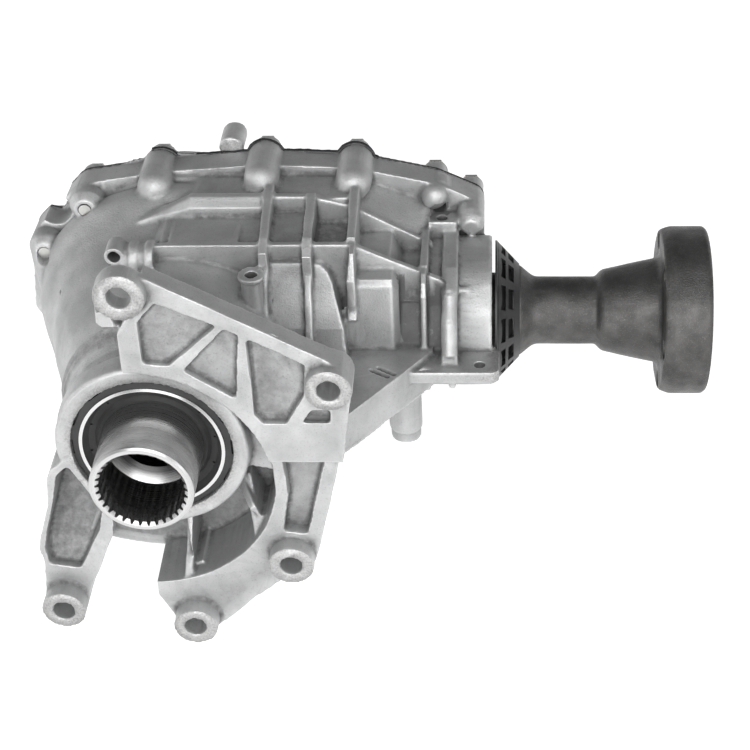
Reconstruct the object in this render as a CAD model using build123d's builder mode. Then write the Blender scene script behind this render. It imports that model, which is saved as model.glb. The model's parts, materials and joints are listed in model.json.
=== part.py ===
# Transfer case that drives a propeller shaft from a transverse gearbox.
# Frame in millimetres: the input axis meets the gearbox mounting plane at the origin,
# -Y points at the gearbox, +X points along the output shaft, +Z is up.
import os
from math import acos, atan2, cos, hypot, pi, radians, sin, tan

from build123d import *

os.makedirs("parts", exist_ok=True)

# Main axes and planes
pinion_y = 155.0
parting_y = 204.0
cover_back_y = 258.0
nose_end_x = 197.0

# Gear pair
ring_teeth = 40
pinion_teeth = 16
heel_module = 3.8
face_width = 26.0
addendum = 3.2
dedendum = 4.3
flank_play = 1.0
pressure_angle = 20.0
ring_body = 14.0
ring_bore_r = 50.0

# Input shaft
shaft_front_y = -25.5
shaft_back_y = 256.0
shaft_nose_r = 30.0
shaft_seat_r = 32.5
shaft_waist_r = 37.0
shaft_bore_r = 20.0
spline_teeth = 33
spline_root_r = 26.5
spline_tip_r = 24.6
spline_end_y = 8.0

# Input bearings
input_cup_r = 50.0
input_bearing_w = 23.0
front_bearing_y = 33.0
rear_bearing_y = 220.0
roller_play = 0.3

# Pinion shaft and its bearings
pinion_seat_r = 20.0
tail_seat_r = 17.5
flange_spline_r = 14.0
thread_r = 10.0
pinion_tip_x = 290.0
head_bearing_x = 86.0
head_bearing_w = 24.0
head_cup_r = 40.0
tail_bearing_x = 142.0
tail_bearing_w = 22.0
tail_cup_r = 36.0

# Input seal and its rings
seal_front_y = 14.0
seal_depth = 12.0
seal_bore_r = 47.5
seal_ring_r = 42.8
seal_case_r = 40.8

# Housing
wall = 7.0
nose_r = 47.9
collar_r = 57.0
collar_front_y = 12.0
front_bell_y = 50.0
gear_chamber_r = 79.5
flange_thickness = 19.0
cover_flange = 8.0
cover_boss_h = 2.0
cover_inset = 3.5
sealant_thickness = 0.8
deck_back_z = 82.5
deck_front_z = 71.0
deck_step_y = 157.0
deck_front_y = 119.0
rib_thickness = 5.0
long_rib_thickness = 6.0

# Gearbox mounting face
plate_face_y = 7.0
plate_back_y = 21.0
arm_face_y = 11.0
boss_hole_r = 6.6
boss_top = (-3.3, 113.0, 14.6)
boss_top_depth = 12.0
boss_right = (106.6, 50.8, 13.6)
boss_low_right = (77.2, -80.0, 13.8)
boss_bottom = (14.3, -131.4, 13.8)
boss_low_left = (-66.6, -118.6, 13.8)
bosses = (boss_top, boss_right, boss_low_right, boss_bottom, boss_low_left)
cup_centre = (-11.0, -23.0)
cup_inner_r = 81.0
cup_wall = 6.0
cup_floor_y = 52.0
arm_back_y = 54.0

# Output flange
flange_back_x = 302.0
flange_face_x = 331.0
flange_r = 53.0
flange_hole_r = 5.25
flange_pcd = 88.0
flange_holes = 6
pilot_r = 28.0
pilot_depth = 6.0
socket_r = 19.0
neck_r = 21.6
hub_r = 24.0


def across(y):
    """Plane that faces the gearbox, y behind the mounting plane."""
    return Plane.XZ.offset(-y)


def along(x):
    """Plane that faces the output flange, x along the output axis, turned so its x is Y."""
    return Plane(origin=(x, 0, 0), x_dir=(0, 1, 0), z_dir=(1, 0, 0))


output_axis = Axis((0, pinion_y, 0), (1, 0, 0))


def flat_outline(z, points):
    """Closed outline of (x, y) pairs on a level plane."""
    with BuildSketch(Plane.XY.offset(z)) as face:
        with BuildLine():
            Polyline(*points, close=True)
        make_face()
    return face.sketch


def turned_profile(points):
    """Closed outline of (radius, y) pairs, to be turned about the input axis."""
    with BuildSketch(Plane.XY) as profile:
        with BuildLine():
            Polyline(*points, close=True)
        make_face()
    return profile.sketch


def output_profile(points):
    """Closed outline of (x, radius) pairs, to be turned about the output axis."""
    with BuildSketch(Plane.XY) as profile:
        with BuildLine():
            Polyline(*[(x, pinion_y + r) for x, r in points], close=True)
        make_face()
    return profile.sketch


def outline(plane, points):
    """Straight-sided face on a plane."""
    with BuildSketch(plane) as face:
        with BuildLine():
            Polyline(*points, close=True)
        make_face()
    return face.sketch


def disc(plane, centre, radius):
    """Round face on a plane."""
    with BuildSketch(plane) as face:
        with Locations(centre):
            Circle(radius)
    return face.sketch


def save(builder, name):
    """Label one finished piece and write it out."""
    builder.part.label = name
    export_step(builder.part, "parts/" + name + ".step")


# Gear geometry worked out from the tooth counts
ring_pitch_r = ring_teeth * heel_module / 2
pinion_pitch_r = pinion_teeth * heel_module / 2
pinion_cone = atan2(pinion_pitch_r, ring_pitch_r)
cone_length = hypot(ring_pitch_r, pinion_pitch_r)
toe_scale = (cone_length - face_width) / cone_length
ring_back_y = pinion_y + pinion_pitch_r + ring_body + 1.4
carrier_back_y = ring_back_y + 10.0
half_tooth = pi * heel_module / 4 - flank_play / 2


def involute(angle):
    """Involute function of an angle in radians."""
    return tan(angle) - angle


def pinion_flank(height):
    """Half the tooth's angle in the plane across the pinion, height above the pitch cone."""
    virtual_r = pinion_pitch_r / cos(pinion_cone)
    base_r = virtual_r * cos(radians(pressure_angle))
    here_r = max(virtual_r + height, base_r)
    turn = half_tooth / virtual_r + involute(radians(pressure_angle)) - involute(acos(base_r / here_r))
    return (virtual_r + height) * turn / (pinion_pitch_r + height / cos(pinion_cone))


def pinion_section(scale):
    """Toothed face across the pinion axis, at a share of the distance from apex to heel."""
    corners = []
    heights = [-dedendum, -dedendum / 2, 0, addendum / 2, addendum]
    for tooth in range(pinion_teeth):
        middle = 2 * pi * tooth / pinion_teeth
        sides = [(h, -pinion_flank(h)) for h in heights] + [(h, pinion_flank(h)) for h in reversed(heights)]
        for height, turn in sides:
            radius = scale * (pinion_pitch_r + height / cos(pinion_cone))
            corners.append((radius * cos(middle + turn), radius * sin(middle + turn)))
    plane = Plane(origin=(scale * ring_pitch_r, pinion_y, 0), x_dir=(0, 1, 0), z_dir=(1, 0, 0))
    return outline(plane, corners)


# Pinion shaft: bevel pinion, two bearing seats, splined tail and threaded end
ring_rim_r = ring_pitch_r + 1.5
pinion_root_r = pinion_pitch_r - dedendum / cos(pinion_cone)
with BuildPart() as pinion_shaft:
    loft([pinion_section(toe_scale), pinion_section(1.0)], ruled=True)
    revolve(
        output_profile(
            [
                (ring_pitch_r - 0.5, 0),
                (ring_pitch_r - 0.5, pinion_root_r - 0.8),
                (ring_rim_r + 0.5, pinion_root_r - 0.8),
                (ring_rim_r + 0.5, pinion_root_r + 2),
                (head_bearing_x - 1, pinion_root_r + 1),
                (head_bearing_x, pinion_root_r - 1),
                (head_bearing_x, pinion_seat_r),
                (head_bearing_x + head_bearing_w + 3, pinion_seat_r),
                (head_bearing_x + head_bearing_w + 5, tail_seat_r),
                (tail_bearing_x + tail_bearing_w + 2, tail_seat_r),
                (tail_bearing_x + tail_bearing_w + 4, flange_spline_r),
                (262, flange_spline_r),
                (265, thread_r),
                (pinion_tip_x - 2, thread_r),
                (pinion_tip_x, thread_r - 2),
                (pinion_tip_x, 0),
            ]
        ),
        axis=output_axis,
    )
save(pinion_shaft, "pinion_shaft")


def ring_tooth_section(radius_share):
    """Tooth face square to a radius, at a share of the heel radius."""
    slope = tan(radians(pressure_angle))
    rise = 1 / cos(pinion_cone)
    tip = half_tooth - addendum * slope
    root = half_tooth + (dedendum + 0.6) * slope
    heights = [(-tip, addendum), (tip, addendum), (root, -dedendum - 0.6), (-root, -dedendum - 0.6)]
    plane = Plane(origin=(radius_share * ring_pitch_r, pinion_y, 0), x_dir=(0, 0, 1), z_dir=(-1, 0, 0))
    corners = [(radius_share * t, radius_share * (pinion_pitch_r - h * rise)) for t, h in heights]
    return outline(plane, corners)


# One tooth of the ring gear, pointing along +X
with BuildPart() as ring_tooth:
    loft([ring_tooth_section(toe_scale), ring_tooth_section(1.0)], ruled=True)

# Ring gear: bevel teeth that face the pinion, on a flat body bolted to the input shaft
toe_r = toe_scale * ring_pitch_r
root_rise = (dedendum + 0.1) / cos(pinion_cone)
ring_bolt_r = 62.0
ring_bolts = 10
bolt_r = 5.0
thread_play = 0.1
with BuildPart() as ring_gear:
    toe_root_y = pinion_y + toe_scale * (pinion_pitch_r + root_rise)
    heel_root_y = pinion_y + pinion_pitch_r + root_rise
    revolve(
        turned_profile(
            [
                (ring_bore_r, ring_back_y),
                (ring_bore_r, toe_root_y + 1.0),
                (toe_r - 1.0, toe_root_y - 0.4),
                (ring_pitch_r, heel_root_y),
                (ring_rim_r, heel_root_y + 0.6),
                (ring_rim_r, ring_back_y),
            ]
        ),
        axis=Axis.Y,
    )
    add([ring_tooth.part.rotate(Axis.Y, (turn + 0.5) * 360 / ring_teeth) for turn in range(ring_teeth)])
    with BuildSketch(across(ring_back_y)):
        with PolarLocations(ring_bolt_r, ring_bolts):
            Circle(bolt_r + thread_play)
    extrude(amount=ring_body, mode=Mode.SUBTRACT)
save(ring_gear, "ring_gear")

# Input shaft: hollow, splined at the gearbox end, with a carrier flange for the ring gear
carrier_r = 73.0
hub_shoulder_r = 39.0
with BuildPart() as input_shaft:
    revolve(
        turned_profile(
            [
                (shaft_bore_r, spline_end_y + 12),
                (spline_root_r + 0.6, spline_end_y + 5),
                (spline_root_r + 0.6, spline_end_y),
                (spline_tip_r, spline_end_y),
                (spline_tip_r, shaft_front_y + 1.5),
                (spline_tip_r + 2, shaft_front_y),
                (shaft_nose_r - 1, shaft_front_y),
                (shaft_nose_r, shaft_front_y + 1),
                (shaft_nose_r, front_bearing_y - 4),
                (shaft_seat_r, front_bearing_y - 2),
                (shaft_seat_r, front_bearing_y + input_bearing_w),
                (hub_shoulder_r, front_bearing_y + input_bearing_w),
                (hub_shoulder_r, front_bearing_y + input_bearing_w + 5),
                (shaft_waist_r, front_bearing_y + input_bearing_w + 12),
                (shaft_waist_r, ring_back_y - 16),
                (ring_bore_r - 0.05, ring_back_y - 8),
                (ring_bore_r - 0.05, ring_back_y),
                (carrier_r, ring_back_y),
                (carrier_r, carrier_back_y - 1.5),
                (carrier_r - 1.5, carrier_back_y),
                (hub_shoulder_r + 5, carrier_back_y),
                (hub_shoulder_r, rear_bearing_y - 3),
                (hub_shoulder_r, rear_bearing_y),
                (shaft_seat_r, rear_bearing_y),
                (shaft_seat_r, rear_bearing_y + input_bearing_w + 1),
                (shaft_nose_r, rear_bearing_y + input_bearing_w + 3),
                (shaft_nose_r, shaft_back_y - 1),
                (shaft_nose_r - 1, shaft_back_y),
                (shaft_bore_r + 1.5, shaft_back_y),
                (shaft_bore_r, shaft_back_y - 1.5),
            ]
        ),
        axis=Axis.Y,
    )
    spline_step = 2 * pi / spline_teeth
    spline_open_r = spline_tip_r - 0.3
    groove_shape = [(-0.30, spline_open_r), (-0.13, spline_root_r)]
    groove_shape += [(0.13, spline_root_r), (0.30, spline_open_r)]
    grooves = []
    for groove in range(spline_teeth):
        for share, radius in groove_shape:
            turn = (groove + share) * spline_step
            grooves.append((radius * cos(turn), radius * sin(turn)))
    extrude(outline(across(spline_end_y), grooves), amount=spline_end_y - shaft_front_y, mode=Mode.SUBTRACT)
    with BuildSketch(across(carrier_back_y)):
        with PolarLocations(ring_bolt_r, ring_bolts):
            Circle(bolt_r + thread_play)
    extrude(amount=carrier_back_y - ring_back_y, mode=Mode.SUBTRACT)
save(input_shaft, "input_shaft")

# Screws that hold the ring gear to the carrier
screw_head_r = 8.0
screw_head_h = 6.0
screw_reach = carrier_back_y - ring_back_y + 12.0
with BuildPart() as ring_gear_bolts:
    with BuildSketch(across(carrier_back_y)):
        with PolarLocations(ring_bolt_r, ring_bolts):
            Circle(bolt_r)
    extrude(amount=screw_reach)
    with BuildSketch(across(carrier_back_y + screw_head_h)):
        with PolarLocations(ring_bolt_r, ring_bolts):
            RegularPolygon(screw_head_r, 6)
    extrude(amount=screw_head_h)
save(ring_gear_bolts, "ring_gear_bolts")


def race_radii(seat_r, cup_r):
    """Radii of the cone's and the cup's roller tracks at their small and large ends."""
    gap = cup_r - seat_r
    return seat_r + 0.27 * gap, seat_r + 0.36 * gap, cup_r - 0.30 * gap, cup_r - 0.16 * gap


lip = 2.2
cone_start = 2.0


def bearing_profiles(seat_r, cup_r, width):
    """Outlines of cone and cup as (depth from the cup's back, radius) pairs."""
    cone_small, cone_large, cup_small, cup_large = race_radii(seat_r, cup_r)
    cone = [
        (cone_start, seat_r),
        (cone_start, cone_small + 0.9),
        (cone_start + lip, cone_small + 0.9),
        (cone_start + lip, cone_small),
        (width - lip, cone_large),
        (width - lip, cone_large + 2.2),
        (width, cone_large + 2.0),
        (width, seat_r),
    ]
    cup = [(0, cup_r), (0, cup_small - 0.9), (width - 3.5, cup_large), (width - 3.5, cup_r)]
    return cone, cup


def track(depth, small, large, first, last):
    """Radius of a tapered race at a depth between its two ends."""
    return small + (large - small) * (depth - first) / (last - first)


def rollers_and_cage(seat_r, cup_r, width, count):
    """Tapered rollers in their cage, about the Z axis with the cup's back at Z = 0."""
    cone_small, cone_large, cup_small, cup_large = race_radii(seat_r, cup_r)
    start = cone_start + lip + 0.4
    end = width - lip - 0.4
    span = width - 3.5
    inner = [track(d, cone_small, cone_large, cone_start + lip, width - lip) for d in (start, end)]
    outer = [track(d, cup_small - 0.9, cup_large, 0, span) for d in (start, end)]
    middles = [(a + b) / 2 for a, b in zip(inner, outer)]
    tilt = atan2(middles[1] - middles[0], end - start)
    half = [(b - a) / 2 * cos(tilt) - roller_play for a, b in zip(inner, outer)]
    lean = (sin(tilt), 0, cos(tilt))
    with BuildPart() as roller:
        with BuildSketch(Plane(origin=(middles[0] + 0.3, 0, start + 0.9), x_dir=(0, 1, 0), z_dir=lean)):
            Circle(half[0])
        with BuildSketch(Plane(origin=(middles[1] - 0.3, 0, end - 0.9), x_dir=(0, 1, 0), z_dir=lean)):
            Circle(half[1])
        loft()
    with BuildPart() as cage:
        with BuildSketch(Plane.XZ):
            with BuildLine():
                Polyline(
                    (middles[0] - 0.5, start - 1.4),
                    (middles[0] + 0.7, start - 1.4),
                    (middles[1] + 0.7, end + 1.4),
                    (middles[1] - 0.5, end + 1.4),
                    close=True,
                )
            make_face()
        revolve(axis=Axis.Z)
        with BuildSketch(Plane.XY.offset(start - 0.1)):
            with PolarLocations(sum(middles) / 2, count):
                Rectangle(20, 2 * half[1] + 0.5)
        extrude(amount=end - start + 0.2, mode=Mode.SUBTRACT)
    ring = [roller.part.rotate(Axis.Z, 360 * turn / count) for turn in range(count)]
    return ring + [cage.part]


def on_input(points, y, direction):
    """Depth and radius pairs turned about the input axis, depth measured from y."""
    return turned_profile([(r, y + direction * d) for d, r in points])


def on_output(points, x, direction):
    """Depth and radius pairs turned about the output axis, depth measured from x."""
    return output_profile([(x + direction * d, r) for d, r in points])


# The two input bearings, with their wide ends towards the ring gear
input_rollers = 16
input_cone, input_cup = bearing_profiles(shaft_seat_r, input_cup_r, input_bearing_w)
for name, cup_back_y, direction in (
    ("front_bearing", front_bearing_y, 1),
    ("rear_bearing", rear_bearing_y + input_bearing_w, -1),
):
    with BuildPart() as cone:
        revolve(on_input(input_cone, cup_back_y, direction), axis=Axis.Y)
    save(cone, name + "_cone")
    with BuildPart() as cup:
        revolve(on_input(input_cup, cup_back_y, direction), axis=Axis.Y)
    save(cup, name + "_cup")
    place = Plane(origin=(0, cup_back_y, 0), x_dir=(1, 0, 0), z_dir=(0, direction, 0)).location
    pieces = rollers_and_cage(shaft_seat_r, input_cup_r, input_bearing_w, input_rollers)
    with BuildPart() as rollers:
        add([place * piece for piece in pieces])
    save(rollers, name + "_rollers")

# The two pinion bearings, with their wide ends away from each other
pinion_rollers = 13
for name, seat_r, cup_r, width, cup_back_x, direction in (
    ("head_bearing", pinion_seat_r, head_cup_r, head_bearing_w, head_bearing_x + head_bearing_w, -1),
    ("tail_bearing", tail_seat_r, tail_cup_r, tail_bearing_w, tail_bearing_x, 1),
):
    cone_points, cup_points = bearing_profiles(seat_r, cup_r, width)
    with BuildPart() as cone:
        revolve(on_output(cone_points, cup_back_x, direction), axis=output_axis)
    save(cone, name + "_cone")
    with BuildPart() as cup:
        revolve(on_output(cup_points, cup_back_x, direction), axis=output_axis)
    save(cup, name + "_cup")
    place = Plane(origin=(cup_back_x, pinion_y, 0), x_dir=(0, 0, 1), z_dir=(direction, 0, 0)).location
    pieces = rollers_and_cage(seat_r, cup_r, width, pinion_rollers)
    with BuildPart() as rollers:
        add([place * piece for piece in pieces])
    save(rollers, name + "_rollers")

# Shims that set the bearing preload
shim_t = 1.2
pinion_shim_r = 35.0
input_shim_r = 45.0
with BuildPart() as pinion_shim:
    shim_x = head_bearing_x + head_bearing_w
    revolve(
        output_profile(
            [
                (shim_x, pinion_shim_r),
                (shim_x, head_cup_r),
                (shim_x + shim_t, head_cup_r),
                (shim_x + shim_t, pinion_shim_r),
            ]
        ),
        axis=output_axis,
    )
save(pinion_shim, "pinion_shim")
with BuildPart() as input_shim:
    shim_y = rear_bearing_y + input_bearing_w
    revolve(
        turned_profile(
            [
                (input_shim_r, shim_y),
                (input_cup_r, shim_y),
                (input_cup_r, shim_y + shim_t),
                (input_shim_r, shim_y + shim_t),
            ]
        ),
        axis=Axis.Y,
    )
save(input_shim, "input_shim")

# Crush sleeve between the two pinion bearing cones
with BuildPart() as crush_sleeve:
    sleeve_start = head_bearing_x + head_bearing_w - cone_start
    sleeve_end = tail_bearing_x + cone_start
    sleeve_r = pinion_seat_r + 0.1
    revolve(
        output_profile(
            [
                (sleeve_start, sleeve_r),
                (sleeve_start, sleeve_r + 2.2),
                (sleeve_start + 12, sleeve_r + 2.2),
                (sleeve_start + 18, sleeve_r + 4.4),
                (sleeve_start + 24, sleeve_r + 2.2),
                (sleeve_end, sleeve_r + 2.2),
                (sleeve_end, sleeve_r),
                (sleeve_start + 24, sleeve_r),
                (sleeve_start + 18, sleeve_r + 2.2),
                (sleeve_start + 12, sleeve_r),
            ]
        ),
        axis=output_axis,
    )
save(crush_sleeve, "crush_sleeve")

# Output flange with a long neck, a socket for the nut and a pilot for the propeller shaft
hub_start = tail_bearing_x + tail_bearing_w
socket_start = 266.0
with BuildPart() as output_flange:
    with BuildSketch(Plane.XY):
        with BuildLine():
            Polyline(
                (hub_start, pinion_y + tail_seat_r + 0.1),
                (hub_start, pinion_y + hub_r - 1),
                (hub_start + 1, pinion_y + hub_r),
                (209, pinion_y + hub_r),
                (209, pinion_y + 28.5),
                (215, pinion_y + 28.5),
            )
            Spline(
                (215, pinion_y + 28.5),
                (220, pinion_y + 24.2),
                (226, pinion_y + neck_r),
                tangents=[(1, -0.9), (1, 0)],
            )
            Line((226, pinion_y + neck_r), (261, pinion_y + neck_r))
            Spline(
                (261, pinion_y + neck_r),
                (263.5, pinion_y + 23.3),
                (267, pinion_y + 26.2),
                tangents=[(1, 0), (1, 0.5)],
            )
            Line((267, pinion_y + 26.2), (299, pinion_y + 33.1))
            RadiusArc((299, pinion_y + 33.1), (flange_back_x, pinion_y + 37), -4.4)
            Line((flange_back_x, pinion_y + 37), (flange_back_x, pinion_y + 49))
            Spline(
                (flange_back_x, pinion_y + 49),
                (304.5, pinion_y + 51.6),
                (310, pinion_y + flange_r),
                tangents=[(0, 1), (1, 0)],
            )
            Polyline(
                (310, pinion_y + flange_r),
                (flange_face_x - 2, pinion_y + flange_r),
                (flange_face_x, pinion_y + flange_r - 2),
                (flange_face_x, pinion_y + pilot_r),
                (flange_face_x - pilot_depth, pinion_y + pilot_r),
                (flange_face_x - pilot_depth, pinion_y + socket_r + 2),
                (flange_face_x - pilot_depth - 2, pinion_y + socket_r),
                (socket_start, pinion_y + socket_r),
                (socket_start, pinion_y + flange_spline_r + 0.1),
                (hub_start + 5, pinion_y + flange_spline_r + 0.1),
                (hub_start + 5, pinion_y + tail_seat_r + 0.1),
                (hub_start, pinion_y + tail_seat_r + 0.1),
            )
        make_face()
    revolve(axis=output_axis)
    flange_plane = Plane(origin=(flange_face_x, pinion_y, 0), x_dir=(0, 1, 0), z_dir=(1, 0, 0))
    with BuildSketch(flange_plane):
        with PolarLocations(flange_pcd / 2, flange_holes):
            Circle(flange_hole_r)
    extrude(amount=-(flange_face_x - flange_back_x + 1), mode=Mode.SUBTRACT)
save(output_flange, "output_flange")

# Washer and nut that clamp the flange on the pinion shaft
washer_t = 2.5
nut_h = 12.0
nut_flats = 30.0
with BuildPart() as flange_washer:
    washer_place = (socket_start, pinion_y, 0)
    with BuildSketch(Plane(origin=washer_place, x_dir=(0, 1, 0), z_dir=(1, 0, 0))):
        Circle(socket_r - 1)
        Circle(thread_r + 0.2, mode=Mode.SUBTRACT)
    extrude(amount=washer_t)
save(flange_washer, "flange_washer")
with BuildPart() as flange_nut:
    nut_place = (socket_start + washer_t, pinion_y, 0)
    with BuildSketch(Plane(origin=nut_place, x_dir=(0, 1, 0), z_dir=(1, 0, 0))):
        RegularPolygon(nut_flats / 2, 6, major_radius=False)
        Circle(thread_r + thread_play, mode=Mode.SUBTRACT)
    extrude(amount=nut_h)
save(flange_nut, "flange_nut")

# Black dust deflector: a conical cage pressed on the flange hub
deflector_x = 199.0
deflector_ribs = 12
with BuildPart() as dust_deflector:
    revolve(
        output_profile(
            [
                (deflector_x, hub_r + 0.05),
                (deflector_x, 44.5),
                (deflector_x + 1.2, 44.5),
                (deflector_x + 2.4, 42.4),
                (deflector_x + 2.4, 40.4),
                (deflector_x + 1.8, 40.4),
                (deflector_x + 1.8, hub_r + 2.5),
                (209, hub_r + 2.5),
                (209, hub_r + 0.05),
            ]
        ),
        axis=output_axis,
    )
    with BuildSketch(Plane.XY):
        with BuildLine():
            Polyline(
                (deflector_x + 1, pinion_y + 40.4),
                (deflector_x + 2, pinion_y + 43.4),
                (214.2, pinion_y + 29.6),
                (212.2, pinion_y + 28.6),
                close=True,
            )
        make_face()
    revolve(axis=output_axis)
    with BuildSketch(Plane(origin=(deflector_x + 3.6, pinion_y, 0), x_dir=(0, 1, 0), z_dir=(1, 0, 0))):
        with PolarLocations(36.5, deflector_ribs, start_angle=15):
            Rectangle(9, 15.5)
    extrude(amount=2.9, mode=Mode.SUBTRACT)
    with BuildSketch(Plane(origin=(deflector_x + 8.2, pinion_y, 0), x_dir=(0, 1, 0), z_dir=(1, 0, 0))):
        with PolarLocations(33, deflector_ribs, start_angle=15):
            Rectangle(9, 12.6)
    extrude(amount=3.4, mode=Mode.SUBTRACT)
save(dust_deflector, "dust_deflector")

# Input seal: bright steel ring, rubber lip and the black notched retainer around them
retainer_notches = 14
with BuildPart() as seal_ring:
    revolve(
        turned_profile(
            [
                (seal_case_r, seal_front_y - 1.2),
                (seal_ring_r, seal_front_y - 1.2),
                (seal_ring_r, seal_front_y + seal_depth),
                (seal_case_r - 6, seal_front_y + seal_depth),
                (seal_case_r - 6, seal_front_y + seal_depth - 1.4),
                (seal_case_r, seal_front_y + seal_depth - 1.4),
            ]
        ),
        axis=Axis.Y,
    )
save(seal_ring, "input_seal_ring")
with BuildPart() as seal_lip:
    revolve(
        turned_profile(
            [
                (shaft_nose_r + 0.06, seal_front_y + 3),
                (shaft_nose_r + 2.2, seal_front_y + 2.2),
                (shaft_nose_r + 4.2, seal_front_y + 4.4),
                (seal_case_r - 3, seal_front_y + 3.2),
                (seal_case_r, seal_front_y + 0.4),
                (seal_case_r, seal_front_y + seal_depth - 1.5),
                (shaft_nose_r + 3.6, seal_front_y + seal_depth - 1.5),
                (shaft_nose_r + 3.2, seal_front_y + seal_depth - 4),
                (shaft_nose_r + 0.06, seal_front_y + 5),
            ]
        ),
        axis=Axis.Y,
    )
    with BuildSketch(across(seal_front_y + 4.6)):
        with PolarLocations(37.2, 12, start_angle=8):
            Circle(0.8)
    extrude(amount=6, mode=Mode.SUBTRACT)
save(seal_lip, "input_seal_lip")
with BuildPart() as seal_retainer:
    revolve(
        turned_profile(
            [
                (seal_ring_r + 0.05, seal_front_y),
                (seal_bore_r, seal_front_y),
                (seal_bore_r, seal_front_y + 6),
                (seal_ring_r + 0.05, seal_front_y + 6),
            ]
        ),
        axis=Axis.Y,
    )
    with BuildSketch(across(seal_front_y + 2.4)):
        with PolarLocations(seal_bore_r, retainer_notches):
            Rectangle(2.6, 10.5)
    extrude(amount=4, mode=Mode.SUBTRACT)
save(seal_retainer, "input_seal_retainer")


def lip_seal(shaft_r, case_r, depth):
    """Depth and radius outlines of a plain lip seal: its metal case and its rubber lip."""
    steel_case = [
        (0, case_r - 5),
        (0, case_r),
        (depth, case_r),
        (depth, case_r - 1.5),
        (1.5, case_r - 1.5),
        (1.5, case_r - 5),
    ]
    rubber_lip = [
        (1.6, case_r - 1.6),
        (depth - 1, case_r - 1.6),
        (depth - 2, shaft_r + 0.06),
        (depth - 4, shaft_r + 0.06),
        (depth - 3.5, shaft_r + 2.5),
        (1.6, case_r - 4.5),
    ]
    return steel_case, rubber_lip


# Rear axle seal in the cover and pinion seal in the nose
rear_seal_r = 40.0
pinion_seal_r = 38.0
plain_seal_depth = 9.0
case_points, lip_points = lip_seal(shaft_nose_r, rear_seal_r, plain_seal_depth)
with BuildPart() as rear_seal_case:
    revolve(on_input(case_points, cover_back_y - 1.5, -1), axis=Axis.Y)
save(rear_seal_case, "rear_seal_case")
with BuildPart() as rear_seal_lip:
    revolve(on_input(lip_points, cover_back_y - 1.5, -1), axis=Axis.Y)
save(rear_seal_lip, "rear_seal_lip")
case_points, lip_points = lip_seal(hub_r, pinion_seal_r, plain_seal_depth)
with BuildPart() as pinion_seal_case:
    revolve(on_output(case_points, nose_end_x - 1.5, -1), axis=output_axis)
save(pinion_seal_case, "pinion_seal_case")
with BuildPart() as pinion_seal_lip:
    revolve(on_output(lip_points, nose_end_x - 1.5, -1), axis=output_axis)
save(pinion_seal_lip, "pinion_seal_lip")

# Places of the cover bolts, x and z on the parting plane
cover_bolt_r = 4.0
cover_boss_r = 11.5
corner_boss_r = 8.6
upper_bolts = [(-14.7, 80.5), (53.2, 85.7), (110.7, 83.0)]
left_bolts = [(-60.5, 66.3), (-91.3, 34.7), (-97.0, -14.0), (-68.0, -72.0)]
lower_bolts = [(-14.0, -97.0), (50.0, -88.0), (110.3, -76.0)]
corner_bolts = [(160.5, 67.2), (183.4, 56.0), (160.5, -60.0), (183.4, -44.0)]
wide_bolts = upper_bolts + left_bolts + lower_bolts
cover_bolt_places = wide_bolts + corner_bolts
through_bolts = left_bolts[:2]
notch_place = (-84.1, 58.5)


def parting_outline(plane, grow):
    """Outline of the parting flange: a taut line round the gear chamber and the bolts."""
    with BuildSketch(plane) as face:
        Circle(gear_chamber_r + wall)
        with Locations(*upper_bolts, *lower_bolts):
            Circle(cover_bolt_r + 0.5)
        with Locations(*left_bolts):
            Circle(cover_boss_r)
        with Locations(*corner_bolts):
            Circle(corner_boss_r)
        make_hull()
        with Locations(notch_place):
            Circle(cover_boss_r - 0.5, mode=Mode.SUBTRACT)
        if grow:
            offset(amount=grow)
    return face.sketch


def bolt_discs(plane, places, radius):
    """Round faces at the cover bolts."""
    with BuildSketch(plane) as face:
        with Locations(*places):
            Circle(radius)
    return face.sketch


def boss_discs(plane, inset):
    """Round faces of the bolt bosses: wide ones, and the smaller ones at the right corners."""
    with BuildSketch(plane) as face:
        with Locations(*wide_bolts):
            Circle(cover_boss_r - inset)
        with Locations(*corner_bolts):
            Circle(corner_boss_r - inset / 4)
    return face.sketch


# Plugs, breather and dowels of the cover
cover_face_y = parting_y + sealant_thickness
plug_seat_y = 229.0
plug_r = 9.0
plug_pad_r = 13.0
plug_tip_y = 219.5
plug_head_h = 5.0
breather_r = 4.0
breather_pad_r = 9.0
fill_place = (-73.0, 0.0)
drain_place = (0.0, -73.0)
breather_place = (51.6, 51.6)
plug_seats = [
    (fill_place, plug_r, plug_pad_r),
    (drain_place, plug_r, plug_pad_r),
    (breather_place, breather_r, breather_pad_r),
]
dowel_places = [(82.0, 78.0), (84.0, -74.0)]
dowel_r = 4.0
dowel_reach = 8.0
dowel_play = 0.05
for name, place in (("fill_plug", fill_place), ("drain_plug", drain_place)):
    with BuildPart() as plug:
        extrude(disc(across(plug_seat_y), place, plug_r), amount=plug_seat_y - plug_tip_y)
        extrude(disc(across(plug_seat_y + 1.5), place, plug_r + 3), amount=1.5)
        extrude(disc(across(plug_seat_y + plug_head_h), place, plug_r + 1), amount=plug_head_h)
        with BuildSketch(across(plug_seat_y + plug_head_h)):
            with Locations(place):
                RegularPolygon(5.0, 6, major_radius=False)
        extrude(amount=plug_head_h - 1, mode=Mode.SUBTRACT)
    save(plug, name)
with BuildPart() as breather:
    extrude(disc(across(plug_seat_y), breather_place, breather_r), amount=plug_seat_y - plug_tip_y)
    extrude(disc(across(plug_seat_y + 3), breather_place, breather_r + 2), amount=3)
    extrude(disc(across(plug_seat_y + 11), breather_place, breather_r + 4), amount=8)
    chamfer(breather.faces().sort_by(Axis.Y)[-1].edges(), 1.5)
save(breather, "breather")
with BuildPart() as locating_dowels:
    dowels = bolt_discs(across(cover_face_y + dowel_reach), dowel_places, dowel_r)
    extrude(dowels, amount=2 * dowel_reach + sealant_thickness)
save(locating_dowels, "locating_dowels")

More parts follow.
